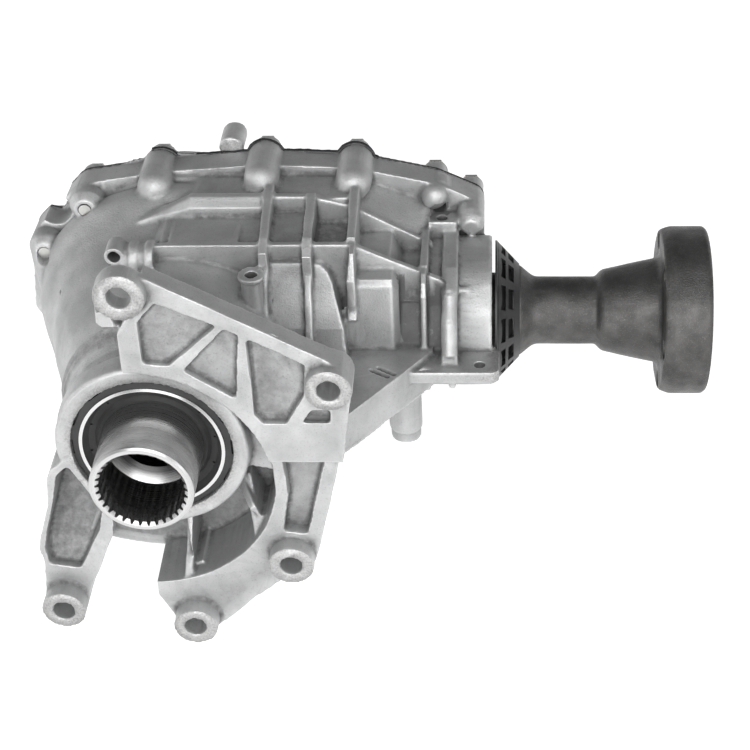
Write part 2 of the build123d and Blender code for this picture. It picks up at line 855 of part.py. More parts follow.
# Rear cover: flat flange, dome over the ring gear, bearing boss and cast stiffening ribs
cover_web_y = 224.0
bearing_boss_r = 61.0
stud_place = (31.0, 91.0)
stud_r = 8.0
stud_end_y = 230.0
cover_ribs = 8
bolt_seat_y = cover_face_y + cover_flange + cover_boss_h
with BuildPart() as rear_cover:
    extrude(parting_outline(across(cover_face_y + cover_flange), -cover_inset), amount=cover_flange)
    extrude(boss_discs(across(bolt_seat_y), 2.0), amount=bolt_seat_y - cover_face_y)
    revolve(
        turned_profile(
            [
                (0, cover_face_y),
                (gear_chamber_r + 5, cover_face_y),
                (gear_chamber_r + 5, cover_face_y + cover_flange),
                (gear_chamber_r + 3, cover_face_y + cover_flange + 5),
                (bearing_boss_r + 7, cover_web_y + 6),
                (bearing_boss_r + 1, cover_web_y + 9),
                (bearing_boss_r, cover_web_y + 12),
                (bearing_boss_r - 1, cover_back_y - 1.5),
                (bearing_boss_r - 2.5, cover_back_y),
                (0, cover_back_y),
            ]
        ),
        axis=Axis.Y,
    )
    for turn in range(cover_ribs):
        spoke = Plane.XY.rotated((0, 360 * (turn + 0.5) / cover_ribs, 0))
        with BuildSketch(spoke):
            with BuildLine():
                Polyline(
                    (bearing_boss_r - 4, cover_face_y + 2),
                    (gear_chamber_r + 2, cover_face_y + 2),
                    (gear_chamber_r + 2, cover_face_y + cover_flange + 5),
                    (bearing_boss_r + 4, cover_back_y - 12),
                    (bearing_boss_r - 4, cover_back_y - 10),
                    close=True,
                )
            make_face()
        extrude(amount=rib_thickness / 2, both=True)
    for x in (110.0, 150.0):
        with BuildSketch(across(cover_face_y + cover_flange + 6)):
            with Locations((x, 0)):
                Rectangle(rib_thickness, 104)
        extrude(amount=cover_flange)
    with BuildSketch(across(cover_face_y + cover_flange + 6)):
        with Locations((132, 0)):
            Rectangle(98, rib_thickness)
    extrude(amount=cover_flange)
    extrude(disc(across(stud_end_y - 3), stud_place, stud_r), amount=stud_end_y - 3 - cover_face_y)
    with Locations((stud_place[0], stud_end_y - stud_r + 1, stud_place[1])):
        Sphere(stud_r - 0.1)
    for place, radius, pad_r in plug_seats:
        extrude(disc(across(plug_seat_y), place, pad_r), amount=plug_seat_y - cover_face_y - 2)
    revolve(
        turned_profile(
            [
                (0, cover_face_y - 1),
                (gear_chamber_r, cover_face_y - 1),
                (gear_chamber_r, cover_face_y + 8),
                (bearing_boss_r + 4, cover_web_y),
                (input_cup_r, cover_web_y),
                (input_cup_r, rear_bearing_y + input_bearing_w + shim_t),
                (45, rear_bearing_y + input_bearing_w + shim_t),
                (45, cover_back_y - 10.5),
                (rear_seal_r, cover_back_y - 10.5),
                (rear_seal_r, cover_back_y + 1),
                (0, cover_back_y + 1),
            ]
        ),
        axis=Axis.Y,
        mode=Mode.SUBTRACT,
    )
    extrude(
        bolt_discs(across(bolt_seat_y), cover_bolt_places, cover_bolt_r + 0.5),
        amount=bolt_seat_y - cover_face_y,
        mode=Mode.SUBTRACT,
    )
    for place, radius, pad_r in plug_seats:
        spot_depth = cover_back_y - 3 - plug_seat_y
        extrude(disc(across(cover_back_y - 3), place, pad_r + 0.5), amount=spot_depth, mode=Mode.SUBTRACT)
        extrude(disc(across(plug_seat_y + 1), place, radius + thread_play), amount=20, mode=Mode.SUBTRACT)
    extrude(
        bolt_discs(across(cover_face_y + dowel_reach), dowel_places, dowel_r + dowel_play),
        amount=dowel_reach + 1,
        mode=Mode.SUBTRACT,
    )
    extrude(bolt_discs(across(bolt_seat_y + 20), cover_bolt_places, 9.0), amount=20, mode=Mode.SUBTRACT)
save(rear_cover, "rear_cover")

# Bolts that hold the cover, with flanged hexagon heads at the back
bolt_tip_y = 184.6
long_bolt_tip_y = 170.0
bolt_head_h = 7.0
bolt_flange_t = 1.6
bolt_flange_r = 8.0
bolt_half_flats = 6.5
bolt_seat = across(bolt_seat_y)
with BuildPart() as cover_bolts:
    extrude(bolt_discs(bolt_seat, cover_bolt_places, cover_bolt_r), amount=bolt_seat_y - bolt_tip_y)
    extrude(bolt_discs(bolt_seat, through_bolts, cover_bolt_r), amount=bolt_seat_y - long_bolt_tip_y)
    extrude(
        bolt_discs(across(bolt_seat_y + bolt_flange_t), cover_bolt_places, bolt_flange_r),
        amount=bolt_flange_t,
    )
    with BuildSketch(across(bolt_seat_y + bolt_head_h)):
        with Locations(*cover_bolt_places):
            RegularPolygon(bolt_half_flats, 6, major_radius=False)
    extrude(amount=bolt_head_h)
save(cover_bolts, "cover_bolts")

# Black sealant squeezed between cover and housing
cover_plane = across(cover_face_y)
with BuildPart() as cover_sealant:
    extrude(parting_outline(cover_plane, -2.5), amount=sealant_thickness)
    extrude(boss_discs(cover_plane, 1.0), amount=sealant_thickness)
    extrude(parting_outline(cover_plane, -8.5), amount=sealant_thickness, mode=Mode.SUBTRACT)
    extrude(disc(cover_plane, (0, 0), gear_chamber_r + 0.2), amount=sealant_thickness, mode=Mode.SUBTRACT)
    extrude(
        bolt_discs(cover_plane, cover_bolt_places, cover_bolt_r + 0.5),
        amount=sealant_thickness,
        mode=Mode.SUBTRACT,
    )
    extrude(
        bolt_discs(cover_plane, dowel_places, dowel_r + 0.5),
        amount=sealant_thickness,
        mode=Mode.SUBTRACT,
    )
save(cover_sealant, "cover_sealant")

# Left arm of the gearbox face: a channel that deepens towards the seal collar
arm_outer = [
    (-44, -6),
    (-54, -9),
    (-62.5, -16),
    (-65.5, -23),
    (-68.5, -44),
    (-76.2, -67.7),
    (-78.6, -79),
    (-77.2, -88),
    (-80.4, -118.6),
]
arm_inner = [(-53, -121), (-48.9, -108), (-41.5, -92), (-35.3, -76), (-31, -66), (-28, -45)]
pocket_edge = [
    (-52, -14),
    (-59.6, -21.5),
    (-63.2, -38.5),
    (-71.5, -65.6),
    (-74.5, -77),
    (-73.3, -90),
    (-55, -93),
    (-39.3, -62),
    (-35, -45),
]
with BuildPart() as arm_pocket:
    extrude(outline(across(50), pocket_edge), amount=42)
    wedge = outline(along(0), [(8, 0), (48, 0), (48, -20), (17, -95), (8, -95)])
    extrude(wedge, amount=90, both=True, mode=Mode.INTERSECT)

# Pockets between the ribs of the gearbox face, x and z
plate_pockets = [
    [(3.5, 92), (14, 104.5), (46, 89.5), (17.5, 63), (3.5, 64.5)],
    [(50.5, 87), (57.5, 83.3), (53.5, 40), (25.5, 59.5)],
    [(62.8, 80.5), (93.5, 63.6), (91.5, 42), (80.5, 22.8), (67.5, 22.8), (63.2, 29)],
    [(95.4, 31.5), (106, 31.5), (105.2, 23), (90, 23)],
]

# Body sections of the gear bell: y, half width, half height
bell_sections = [
    (50, 60.0, 58.5),
    (70, 64.5, 60),
    (90, 71.3, 61),
    (105, 76.5, 62),
    (120, 82.0, 64.5),
    (135, 88.0, 67),
    (150, 94.0, 72),
    (166, 98.0, 81),
    (204, 101.0, 89),
]

# Outlines of the gearbox face, x and z
upper_plate = [
    (-10, 40),
    (-9.5, 84),
    (0, 101),
    (6.5, 112),
    (8, 122.5),
    (112, 63.5),
    (119, 44),
    (112, -6),
    (60, -6),
]
rim = [
    (-9, -90),
    (-9, -115),
    (3, -139),
    (24, -143),
    (38.3, -130.5),
    (51.5, -117),
    (64, -106.5),
    (78, -95),
    (91, -86),
    (95, -72),
    (111, 0),
    (113, 6),
    (60, 6),
    (50, -50),
]
left_of_notch = [
    (-120, 90),
    (-120, -130),
    (-9, -130),
    (-9, -60),
    (-40, -40),
    (-48, 0),
    (-40, 45),
    (-10, 50),
    (-10, 90),
]
left_of_arm = [
    (-120, 90),
    (-120, -130),
    (-56, -130),
    (-68, -75),
    (-64, -45),
    (-56, -10),
    (-50, 30),
    (0, 56),
    (0, 90),
]
arm_channel = [(76, -5), (101, -4), (87, -64), (73, -62), (78, -34)]
recess_ribs = (-80.0, -45.0)


def recess_radius(turn):
    """Distance from the input axis to the recess wall, at an angle above +X in degrees."""
    towards = cup_centre[0] * cos(radians(turn)) + cup_centre[1] * sin(radians(turn))
    offset = hypot(*cup_centre)
    return towards + (towards**2 - offset**2 + cup_inner_r**2) ** 0.5


# Step of the barrel wall under the front deck, wider and lower towards the right
with BuildPart() as barrel_step:
    extrude(outline(along(56), [(121, 62), (114, 62), (98, 25), (94, 0), (121, 0)]), amount=54)
    edge = [(56, 0), (56, 62), (88, 62), (94, 61), (98, 57), (101, 51), (107, 25), (109, 0)]
    extrude(outline(across(125), edge), amount=40, mode=Mode.INTERSECT)

# Main housing
web_top_z = 6.0
web_low_z = -21.0
lug_z = 57.0
low_lug_z = 3.0
low_lug_t = 8.0
bullet_front_y = 163.0
# Round-ended bolt barrels: place, radius and the y of the round end
bolt_barrels = [(place, cover_boss_r, bullet_front_y) for place in upper_bolts] + [
    (corner_bolts[0], corner_boss_r, 176.4),
    (corner_bolts[1], corner_boss_r, 169.7),
]
vent_place = (-31.0, 69.0)
vent_front_y = 110.0
vent_r = 6.6
vent_hole_r = 3.3
pad_place = (53.0, 101.0)
pad_top_z = 63.0
pad_r = 8.6
pad_neck_r = 7.0
pad_rim_t = 3.0
pad_hole_r = 3.4
pad_hole_depth = 15.0
post_place = (141.5, 122.0)
post_r = 10.8
post_low_z = -73.0
post_tip_h = 6.0
post_tip_r = 9.8
long_rib_x = (59.5, 86.0, 112.5)
upper_lug_hole = (165.5, 175.1)
upper_lug_hole_r = 3.0
lower_lug_hole = (189.5, 91.6)
lower_lug_hole_r = 3.3
with BuildPart() as main_housing:
    # Rim, wall and floor of the round recess, open where the notch and the arm are
    rim_back_y = cup_floor_y + 7
    extrude(disc(across(rim_back_y), cup_centre, cup_inner_r + cup_wall), amount=rim_back_y - arm_face_y)
    extrude(outline(across(plate_back_y + 6), rim), amount=plate_back_y + 6 - arm_face_y)
    extrude(outline(across(cup_floor_y - 0.5), left_of_notch), amount=60, mode=Mode.SUBTRACT)
    extrude(outline(across(cup_floor_y + 8), left_of_arm), amount=10, mode=Mode.SUBTRACT)
    extrude(disc(across(cup_floor_y), cup_centre, cup_inner_r), amount=60, mode=Mode.SUBTRACT)
    for turn in recess_ribs:
        spoke = Plane.XY.rotated((0, -turn, 0))
        reach = recess_radius(turn) + 2
        rib = [(54, 56), (reach, 56), (reach, 13), (reach - 6, 13), (60, 42)]
        extrude(outline(spoke, rib), amount=rib_thickness / 2, both=True)
    # Upper plate, cut to the same recess
    extrude(outline(across(plate_back_y), upper_plate), amount=plate_back_y - plate_face_y)
    extrude(disc(across(plate_back_y + 1), cup_centre, cup_inner_r), amount=60, mode=Mode.SUBTRACT)
    # Gear bell and seal collar
    for y, half_width, half_height in bell_sections:
        with BuildSketch(across(y)):
            Ellipse(half_width, half_height)
    loft()
    revolve(
        turned_profile(
            [
                (0, collar_front_y),
                (collar_r - 1.5, collar_front_y),
                (collar_r, collar_front_y + 1.5),
                (collar_r + 1, 26),
                (collar_r, 28),
                (collar_r - 2.4, 30),
                (collar_r - 2.4, 39),
                (59, front_bell_y),
                (62, 56),
                (0, 56),
            ]
        ),
        axis=Axis.Y,
    )
    revolve(
        turned_profile(
            [
                (0, 166),
                (70, 166),
                (gear_chamber_r + 4, 182),
                (gear_chamber_r + 6, 190),
                (gear_chamber_r + 6, parting_y),
                (0, parting_y),
            ]
        ),
        axis=Axis.Y,
    )
    # Parting flange and bolt bosses
    extrude(parting_outline(across(parting_y), 0), amount=flange_thickness)
    extrude(boss_discs(across(parting_y), 0), amount=flange_thickness)
    for place, radius, front_y in bolt_barrels:
        extrude(disc(across(parting_y), place, radius), amount=parting_y - front_y - radius)
        with Locations((place[0], front_y + radius, place[1])):
            Sphere(radius - 0.05)
    for place in through_bolts:
        extrude(disc(across(parting_y), place, cover_boss_r), amount=parting_y - long_bolt_tip_y - 6)
        extrude(disc(across(long_bolt_tip_y + 6), place, cover_boss_r), amount=6, taper=35)
    # Wedge that carries the lower left bolt barrel down into the bell
    with BuildSketch(across(long_bolt_tip_y + 4)):
        with Locations(through_bolts[1]):
            Circle(cover_boss_r - 1)
    with BuildSketch(across(138)):
        with Locations((-84, -2)):
            Circle(2.5)
    loft()
    # Decks over the pinion, with a lower floor to the right
    with BuildSketch(across(deck_step_y)):
        with BuildLine():
            Polyline(
                (-22, 0),
                (-20, 72),
                (-4, 76),
                (12, deck_back_z),
                (108, deck_back_z),
                (116, 69),
                (150, 49),
                (160, 40),
                (160, 0),
                close=True,
            )
        make_face()
    with BuildSketch(across(parting_y - 12)):
        with BuildLine():
            Polyline(
                (-22, 0),
                (-20, 78),
                (-4, 81),
                (12, deck_back_z),
                (108, deck_back_z),
                (122, 79),
                (158, 66),
                (176, 52),
                (176, 0),
                close=True,
            )
        make_face()
    loft(ruled=True)
    with BuildSketch(across(deck_front_y)):
        with BuildLine():
            Polyline(
                (-14, 0),
                (-12, 63),
                (-4, deck_front_z),
                (112, deck_front_z),
                (113, 58),
                (135, 58),
                (142, 44),
                (160, 40),
                (160, 0),
                close=True,
            )
        make_face()
    with BuildSketch(across(deck_step_y + 2)):
        with BuildLine():
            Polyline(
                (-18, 0),
                (-16, 66),
                (-4, deck_front_z + 3.5),
                (112, deck_front_z + 3.5),
                (113, 60),
                (135, 60),
                (142, 46),
                (160, 42),
                (160, 0),
                close=True,
            )
        make_face()
    loft(ruled=True)
    with Locations((98.5, 138, 77)):
        Box(21, 33, 22, mode=Mode.SUBTRACT)
    # Sloping front of the back cross rib
    slope = [(deck_step_y + 2, 85.4), (154.5, 85.4), (149, 80), (149, 60), (deck_step_y + 2, 60)]
    extrude(outline(along(10), slope), amount=46)
    # Pinion housing and nose
    revolve(
        output_profile(
            [
                (40, 0),
                (40, 62),
                (86, 54),
                (94, 50.5),
                (130, 50.5),
                (138, 46.5),
                (158, 46.5),
                (158, nose_r),
                (nose_end_x - 1, nose_r),
                (nose_end_x, nose_r - 1),
                (nose_end_x, 0),
            ]
        ),
        axis=output_axis,
    )
    revolve(output_profile([(153.2, 0), (153.2, 51.5), (158.0, 51.5), (158.0, 0)]), axis=output_axis)
    column = [(172, 50), (150, 51), (128, 49), (112, 42), (99, 28), (91, 8), (90, 0), (155, 0), (172, 0)]
    extrude(outline(along(166.2), column), amount=10)
    add(barrel_step.part)
    # Cross ribs
    back_cross = [(-24, 40), (-22, 68), (0, 77), (14, 85.4), (86, 84.5), (110, 78)]
    back_cross += [(152, 54.5), (160, 50), (160, 40)]
    extrude(outline(across(deck_step_y + rib_thickness / 2), back_cross), amount=rib_thickness)
    front_cross = [(-17, 40), (-17, 69), (-10, 72), (-4, 73.5), (113, 73.5)]
    front_cross += [(165.5, 48.2), (172, 42), (172, 30)]
    extrude(outline(across(deck_front_y + rib_thickness / 2), front_cross), amount=rib_thickness)
    # Long ribs, which run down the front of the deck wall
    rib = [(109, 0), (109, 72), (deck_front_y, 77), (deck_step_y, 87), (186, 89), (186, 10)]
    extrude(outline(along(long_rib_x[0]), rib), amount=long_rib_thickness / 2, both=True)
    rib = [(107, 0), (108, 70), (deck_front_y, 77), (deck_step_y, 86), (deck_step_y + 2, 10)]
    extrude(outline(along(long_rib_x[1]), rib), amount=long_rib_thickness / 2, both=True)
    rib = [(deck_front_y, 20), (deck_front_y, 77), (deck_step_y, 86), (186, 88), (186, 20)]
    extrude(outline(along(long_rib_x[2]), rib), amount=long_rib_thickness / 2, both=True)
    rib = [(deck_front_y, 30), (deck_front_y, 57), (deck_step_y, 57), (172, 52), (172, 30)]
    extrude(outline(along(155.6), rib), amount=rib_thickness / 2, both=True)
    blade = [(deck_front_y + 4, 72), (96, 26), (94, 12), (104, 6), (deck_front_y + 4, 6)]
    extrude(outline(along(long_rib_x[2]), blade), amount=long_rib_thickness / 2, both=True)
    # Lower side of the pinion housing: two gussets
    for x in (82.0, 126.0):
        rib = [(104, -20), (136, -72), (146, -80), (190, -72), (190, -20)]
        extrude(outline(along(x), rib), amount=long_rib_thickness / 2, both=True)
    # Lugs on the nose, web to the gearbox plate and locating post
    with Locations((165.9, 180.6, lug_z - 10)):
        Box(18, 24, 20)
    lug = [(146, 82.5), (146, 155), (196, 155), (196, 112), (201.5, 107), (201.5, 86), (198, 82.5)]
    extrude(flat_outline(low_lug_z, lug), amount=-low_lug_t)
    web = [(161, 102), (104, 24.7), (96, 12), (50, 24), (50, 125), (150, 125), (161, 112)]
    extrude(flat_outline(web_top_z, web), amount=web_low_z - web_top_z)
    extrude(disc(Plane.XY.offset(-low_lug_t + low_lug_z + 1), (173, 86), 2.6), amount=-6)
    post_shoulder_z = post_low_z + post_tip_h
    extrude(disc(Plane.XY.offset(web_low_z + 1), post_place, post_r), amount=post_shoulder_z - web_low_z - 1)
    extrude(disc(Plane.XY.offset(post_shoulder_z + 2), post_place, post_tip_r), amount=-post_tip_h - 2)
    # Threaded pad, breather boss and casting pad on the decks
    extrude(disc(Plane.XY.offset(pad_top_z), pad_place, pad_neck_r), amount=-45)
    extrude(disc(Plane.XY.offset(pad_top_z), pad_place, pad_r), amount=-pad_rim_t)
    extrude(disc(across(vent_front_y + 15), vent_place, vent_r), amount=15)
    for start, radius in ((-27.0, 9.0), (-22.0, 10.5), (-17.0, 9.5), (-12.0, 11.0)):
        extrude(disc(along(start), (vent_front_y + 8, 64), radius), amount=5.0)
    with Locations((22, 136, deck_front_z + 0.9)):
        Box(42, 27, 3.2)
    # Diamond pad beside the upper left bolt barrel
    diamond = [(-58.8, 190.8), (-52.2, 203.9), (-37, 200), (-49.9, 184.3)]
    extrude(flat_outline(78, diamond), amount=-10)
    # Left arm
    extrude(outline(across(arm_back_y), arm_outer + arm_inner), amount=arm_back_y - arm_face_y)
    add(arm_pocket.part, mode=Mode.SUBTRACT)
    # Bolt bosses of the gearbox face
    for x, z, radius in bosses[1:]:
        extrude(disc(across(plate_back_y + 2), (x, z), radius), amount=plate_back_y + 2)
    x, z, radius = boss_top
    extrude(disc(across(boss_top_depth), (x, z), radius), amount=boss_top_depth)
    split(bisect_by=across(parting_y), keep=Keep.TOP)

    # Gear chamber, shaft tunnel, front bearing seat and seal bore
    revolve(
        turned_profile(
            [
                (0, collar_front_y - 1),
                (seal_bore_r, collar_front_y - 1),
                (seal_bore_r, front_bearing_y - 6),
                (45, front_bearing_y - 6),
                (45, front_bearing_y),
                (input_cup_r, front_bearing_y),
                (input_cup_r, 110),
                (56, 172),
                (gear_chamber_r - 1, 180.5),
                (gear_chamber_r, 184),
                (gear_chamber_r, parting_y + 1),
                (0, parting_y + 1),
            ]
        ),
        axis=Axis.Y,
        mode=Mode.SUBTRACT,
    )
    # Pinion chamber, bearing seats and seal bore of the nose
    shoulder_x = head_bearing_x + head_bearing_w + shim_t
    revolve(
        output_profile(
            [
                (0, 0),
                (0, 44),
                (78, 44),
                (82, head_cup_r),
                (shoulder_x, head_cup_r),
                (shoulder_x, 35),
                (tail_bearing_x, 32),
                (tail_bearing_x, tail_cup_r),
                (nose_end_x - 11, tail_cup_r),
                (nose_end_x - 11, pinion_seal_r),
                (nose_end_x + 1, pinion_seal_r),
                (nose_end_x + 1, 0),
            ]
        ),
        axis=output_axis,
        mode=Mode.SUBTRACT,
    )
    # Holes for the cover bolts and the gearbox bolts
    extrude(
        bolt_discs(across(parting_y + 1), cover_bolt_places, cover_bolt_r + thread_play),
        amount=flange_thickness + 2,
        mode=Mode.SUBTRACT,
    )
    extrude(
        bolt_discs(across(parting_y + 1), through_bolts, cover_bolt_r + thread_play),
        amount=parting_y - long_bolt_tip_y + 2,
        mode=Mode.SUBTRACT,
    )
    extrude(
        bolt_discs(across(parting_y + 1), dowel_places, dowel_r + dowel_play),
        amount=dowel_reach + 1,
        mode=Mode.SUBTRACT,
    )
    boss_cut_y = arm_back_y + 1
    for x, z, radius in bosses:
        extrude(disc(across(boss_cut_y), (x, z), boss_hole_r), amount=boss_cut_y + 1, mode=Mode.SUBTRACT)
    # Pockets of the gearbox face
    for corners in plate_pockets:
        extrude(outline(across(plate_face_y + 5), corners), amount=6, mode=Mode.SUBTRACT)
    extrude(outline(across(arm_face_y + 9), arm_channel), amount=12, mode=Mode.SUBTRACT)
    # Small holes of the lugs, the threaded pad and the breather boss
    for place, top, depth, radius in (
        (upper_lug_hole, lug_z + 25, 45, upper_lug_hole_r),
        (lower_lug_hole, low_lug_z + 1, low_lug_t + 2, lower_lug_hole_r),
        (pad_place, pad_top_z + 1, pad_hole_depth + 1, pad_hole_r),
    ):
        extrude(disc(Plane.XY.offset(top), place, radius), amount=-depth, mode=Mode.SUBTRACT)
    extrude(disc(across(vent_front_y + 12), vent_place, vent_hole_r), amount=14, mode=Mode.SUBTRACT)
    # Underside pocket and two draining slots of the web
    pocket = [(139, 84), (146, 98), (128, 104), (100, 90), (84, 40), (94, 26), (104, 38)]
    extrude(flat_outline(web_low_z - 1, pocket), amount=web_top_z - web_low_z - 6, mode=Mode.SUBTRACT)
    with BuildSketch(Plane.XY.offset(web_top_z - 1.2)):
        with Locations((129.2, 78.5), (132.9, 81.0)):
            SlotOverall(15, 1.8, rotation=-33)
    extrude(amount=3, mode=Mode.SUBTRACT)
save(main_housing, "main_housing")
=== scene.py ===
# %% [markdown]
# # A transfer case, dressed on its CAD frame
# A transfer case takes drive from a gearbox and sends it out sideways to a propeller shaft. Its shapes and
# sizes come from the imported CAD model. This script gives every piece its surface: cast aluminium with soft
# edges, polished and forged steel, moulded plastic, rubber and a bead of sealant. Blender's lengths are
# metres. A few helpers take millimetres, as on a drawing, and say so.

# %% Load the frame
import json
import math

import bmesh
import bpy
import numpy as np
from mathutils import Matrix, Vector
from mathutils.bvhtree import BVHTree
from mathutils.kdtree import KDTree


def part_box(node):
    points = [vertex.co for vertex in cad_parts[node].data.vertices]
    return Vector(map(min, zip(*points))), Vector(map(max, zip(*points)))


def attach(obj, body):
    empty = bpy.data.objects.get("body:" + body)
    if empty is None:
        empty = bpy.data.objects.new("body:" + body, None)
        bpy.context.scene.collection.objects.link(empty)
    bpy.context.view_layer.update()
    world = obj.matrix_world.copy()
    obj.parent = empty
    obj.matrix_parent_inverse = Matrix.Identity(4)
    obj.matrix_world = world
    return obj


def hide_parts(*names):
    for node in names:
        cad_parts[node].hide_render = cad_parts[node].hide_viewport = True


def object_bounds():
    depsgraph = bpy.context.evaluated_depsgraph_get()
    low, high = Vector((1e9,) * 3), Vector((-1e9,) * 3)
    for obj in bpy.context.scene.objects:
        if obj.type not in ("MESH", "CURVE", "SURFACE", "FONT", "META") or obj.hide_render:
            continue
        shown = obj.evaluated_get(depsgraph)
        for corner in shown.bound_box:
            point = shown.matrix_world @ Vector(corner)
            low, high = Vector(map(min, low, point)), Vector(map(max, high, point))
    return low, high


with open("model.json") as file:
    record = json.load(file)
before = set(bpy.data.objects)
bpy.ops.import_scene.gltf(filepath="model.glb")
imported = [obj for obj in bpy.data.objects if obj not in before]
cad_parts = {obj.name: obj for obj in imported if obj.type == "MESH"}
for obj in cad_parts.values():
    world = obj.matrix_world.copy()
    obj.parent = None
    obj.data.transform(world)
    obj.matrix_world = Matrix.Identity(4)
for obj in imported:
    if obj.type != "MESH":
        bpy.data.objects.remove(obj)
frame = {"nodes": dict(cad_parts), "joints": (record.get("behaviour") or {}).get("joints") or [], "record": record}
nodes = frame["nodes"]
cad_low, cad_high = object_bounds()
print("CAD box, mm:", [round((b - a) * 1000, 1) for a, b in zip(cad_low, cad_high)])

# %% [markdown]
# A few places come back in several steps: the axis that the output line turns about, the face of its flange,
# and the two faces on either side of the sealant, the end of the housing and the start of the cover. They
# could be typed in, but the frame knows them, so they are read from it and stay right if the CAD changes.

# %% Places from the frame
joint_places = {joint["name"]: joint["pos_m"] for joint in frame["joints"]}
output_y = joint_places["output_spin"][1]
housing_end = round(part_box("main_housing")[1].y, 6)
cover_start = round(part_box("rear_cover")[0].y, 6)
flange_face = round(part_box("output_flange")[1].x, 6)
print("output axis, joint faces and flange face, m:", output_y, housing_end, cover_start, flange_face)

# %% [markdown]
# The camera stands where the photographer stood: above and in front of the gearbox side, with a long lens.
# A long lens keeps the near bosses and the far parting line at almost the same scale, as in a product
# photograph. The angles were found by matching round features of known size.

# %% The camera
camera_data = bpy.data.cameras.new("camera")
camera_data.lens = 83.6
camera_data.clip_end = 20
camera = bpy.data.objects.new("camera", camera_data)
camera.location = (0.1985, -0.7684, 0.6275)
camera.rotation_euler = (math.radians(53.73), math.radians(2.264), math.radians(3.2))
bpy.context.scene.collection.objects.link(camera)
bpy.context.scene.camera = camera
print("lens, mm:", round(camera_data.lens, 1))

# %% [markdown]
# Several finishes share the same effects, such as grain or a painted highlight on edges. Each effect could be
# drawn anew in every material, but then a change would have to be made many times. So each is a node group with
# named inputs, built once, and these helpers keep the building of nodes short.

# %% Helpers for nodes
def feed(tree, value, socket):
    """Gives a socket a number or a colour, or links another socket to it."""
    if isinstance(value, tuple):
        socket.default_value = (*value, 1.0)
    elif isinstance(value, (int, float)):
        socket.default_value = value
    else:
        tree.links.new(value, socket)


def new_group(name, inputs, outputs):
    """Empty shader group, with its number inputs as names and values, and the names of its outputs."""
    tree = bpy.data.node_groups.new(name, "ShaderNodeTree")
    for label, value in inputs.items():
        socket = tree.interface.new_socket(name=label, in_out="INPUT", socket_type="NodeSocketFloat")
        socket.default_value = value
    for label in outputs:
        tree.interface.new_socket(name=label, in_out="OUTPUT", socket_type="NodeSocketFloat")
    return tree, tree.nodes.new("NodeGroupInput"), tree.nodes.new("NodeGroupOutput")


def noise(tree, scale, detail, rough=0.5):
    """Noise texture on Object coordinates, with its scale given as a number or a socket."""
    place = tree.nodes.new("ShaderNodeTexCoord")
    node = tree.nodes.new("ShaderNodeTexNoise")
    node.inputs["Detail"].default_value = detail
    node.inputs["Roughness"].default_value = rough
    tree.links.new(place.outputs["Object"], node.inputs["Vector"])
    feed(tree, scale, node.inputs["Scale"])
    return node.outputs["Fac"]


def math_node(tree, operation, a, b=0.0, clamp=False):
    """One sum on two numbers or sockets."""
    node = tree.nodes.new("ShaderNodeMath")
    node.operation = operation
    node.use_clamp = clamp
    feed(tree, a, node.inputs[0])
    feed(tree, b, node.inputs[1])
    return node.outputs[0]


def spread(tree, value, start, stop, to_start=0.0, to_stop=1.0):
    """Maps a value so that start becomes to_start and stop becomes to_stop, and no further."""
    node = tree.nodes.new("ShaderNodeMapRange")
    for label, number in (("From Min", start), ("From Max", stop), ("To Min", to_start), ("To Max", to_stop)):
        node.inputs[label].default_value = number
    tree.links.new(value, node.inputs["Value"])
    return node.outputs["Result"]


# %% [markdown]
# `casting_grain` makes the skin that molten metal takes from its mould: fine pits over broad, soft patches. A
# photograph of a casting could be wrapped round the piece, but it would blur close up and show seams. Noise
# in the piece's own space has neither fault.

# %% Casting grain
pit_share, swell_share = 0.6, 0.4
grain, entry, result = new_group(
    "casting_grain", {"Grain Scale": 900.0, "Patch Scale": 45.0}, ["Height", "Patches", "Specks"]
)
fine = noise(grain, entry.outputs["Grain Scale"], detail=4.0, rough=0.6)
broad = noise(grain, entry.outputs["Patch Scale"], detail=3.0, rough=0.55)
pits = math_node(grain, "MULTIPLY", fine, pit_share)
swells = math_node(grain, "MULTIPLY", broad, swell_share)
grain.links.new(math_node(grain, "ADD", pits, swells), result.inputs["Height"])
grain.links.new(spread(grain, broad, 0.32, 0.68), result.inputs["Patches"])
grain.links.new(spread(grain, fine, 0.56, 0.72), result.inputs["Specks"])
print("casting grain nodes:", len(grain.nodes))

# %% [markdown]
# This group finds the ridges of a piece. A Bevel node gives the normal that a rounded edge would have, and where
# this differs from the true normal there is an edge. Steel uses the mask to lighten its edges, which paints a
# highlight on them. The other way, painting each edge by hand, would have to be done again for every change.

# %% Edge highlights
highlight_edges, entry, result = new_group("edge_highlight", {"Radius": 0.0008, "Break Up": 400.0}, ["Edge"])
bevel = highlight_edges.nodes.new("ShaderNodeBevel")
bevel.samples = 6
true_normal = highlight_edges.nodes.new("ShaderNodeNewGeometry")
facing = highlight_edges.nodes.new("ShaderNodeVectorMath")
facing.operation = "DOT_PRODUCT"
highlight_edges.links.new(entry.outputs["Radius"], bevel.inputs["Radius"])
highlight_edges.links.new(bevel.outputs["Normal"], facing.inputs[0])
highlight_edges.links.new(true_normal.outputs["Normal"], facing.inputs[1])
ridge = spread(highlight_edges, facing.outputs["Value"], 0.999, 0.9)
ragged = spread(highlight_edges, noise(highlight_edges, entry.outputs["Break Up"], detail=3.0), 0.35, 0.6, 0.35, 1.0)
highlight_edges.links.new(math_node(highlight_edges, "MULTIPLY", ridge, ragged, clamp=True), result.inputs["Edge"])
print("edge wear nodes:", len(highlight_edges.nodes))
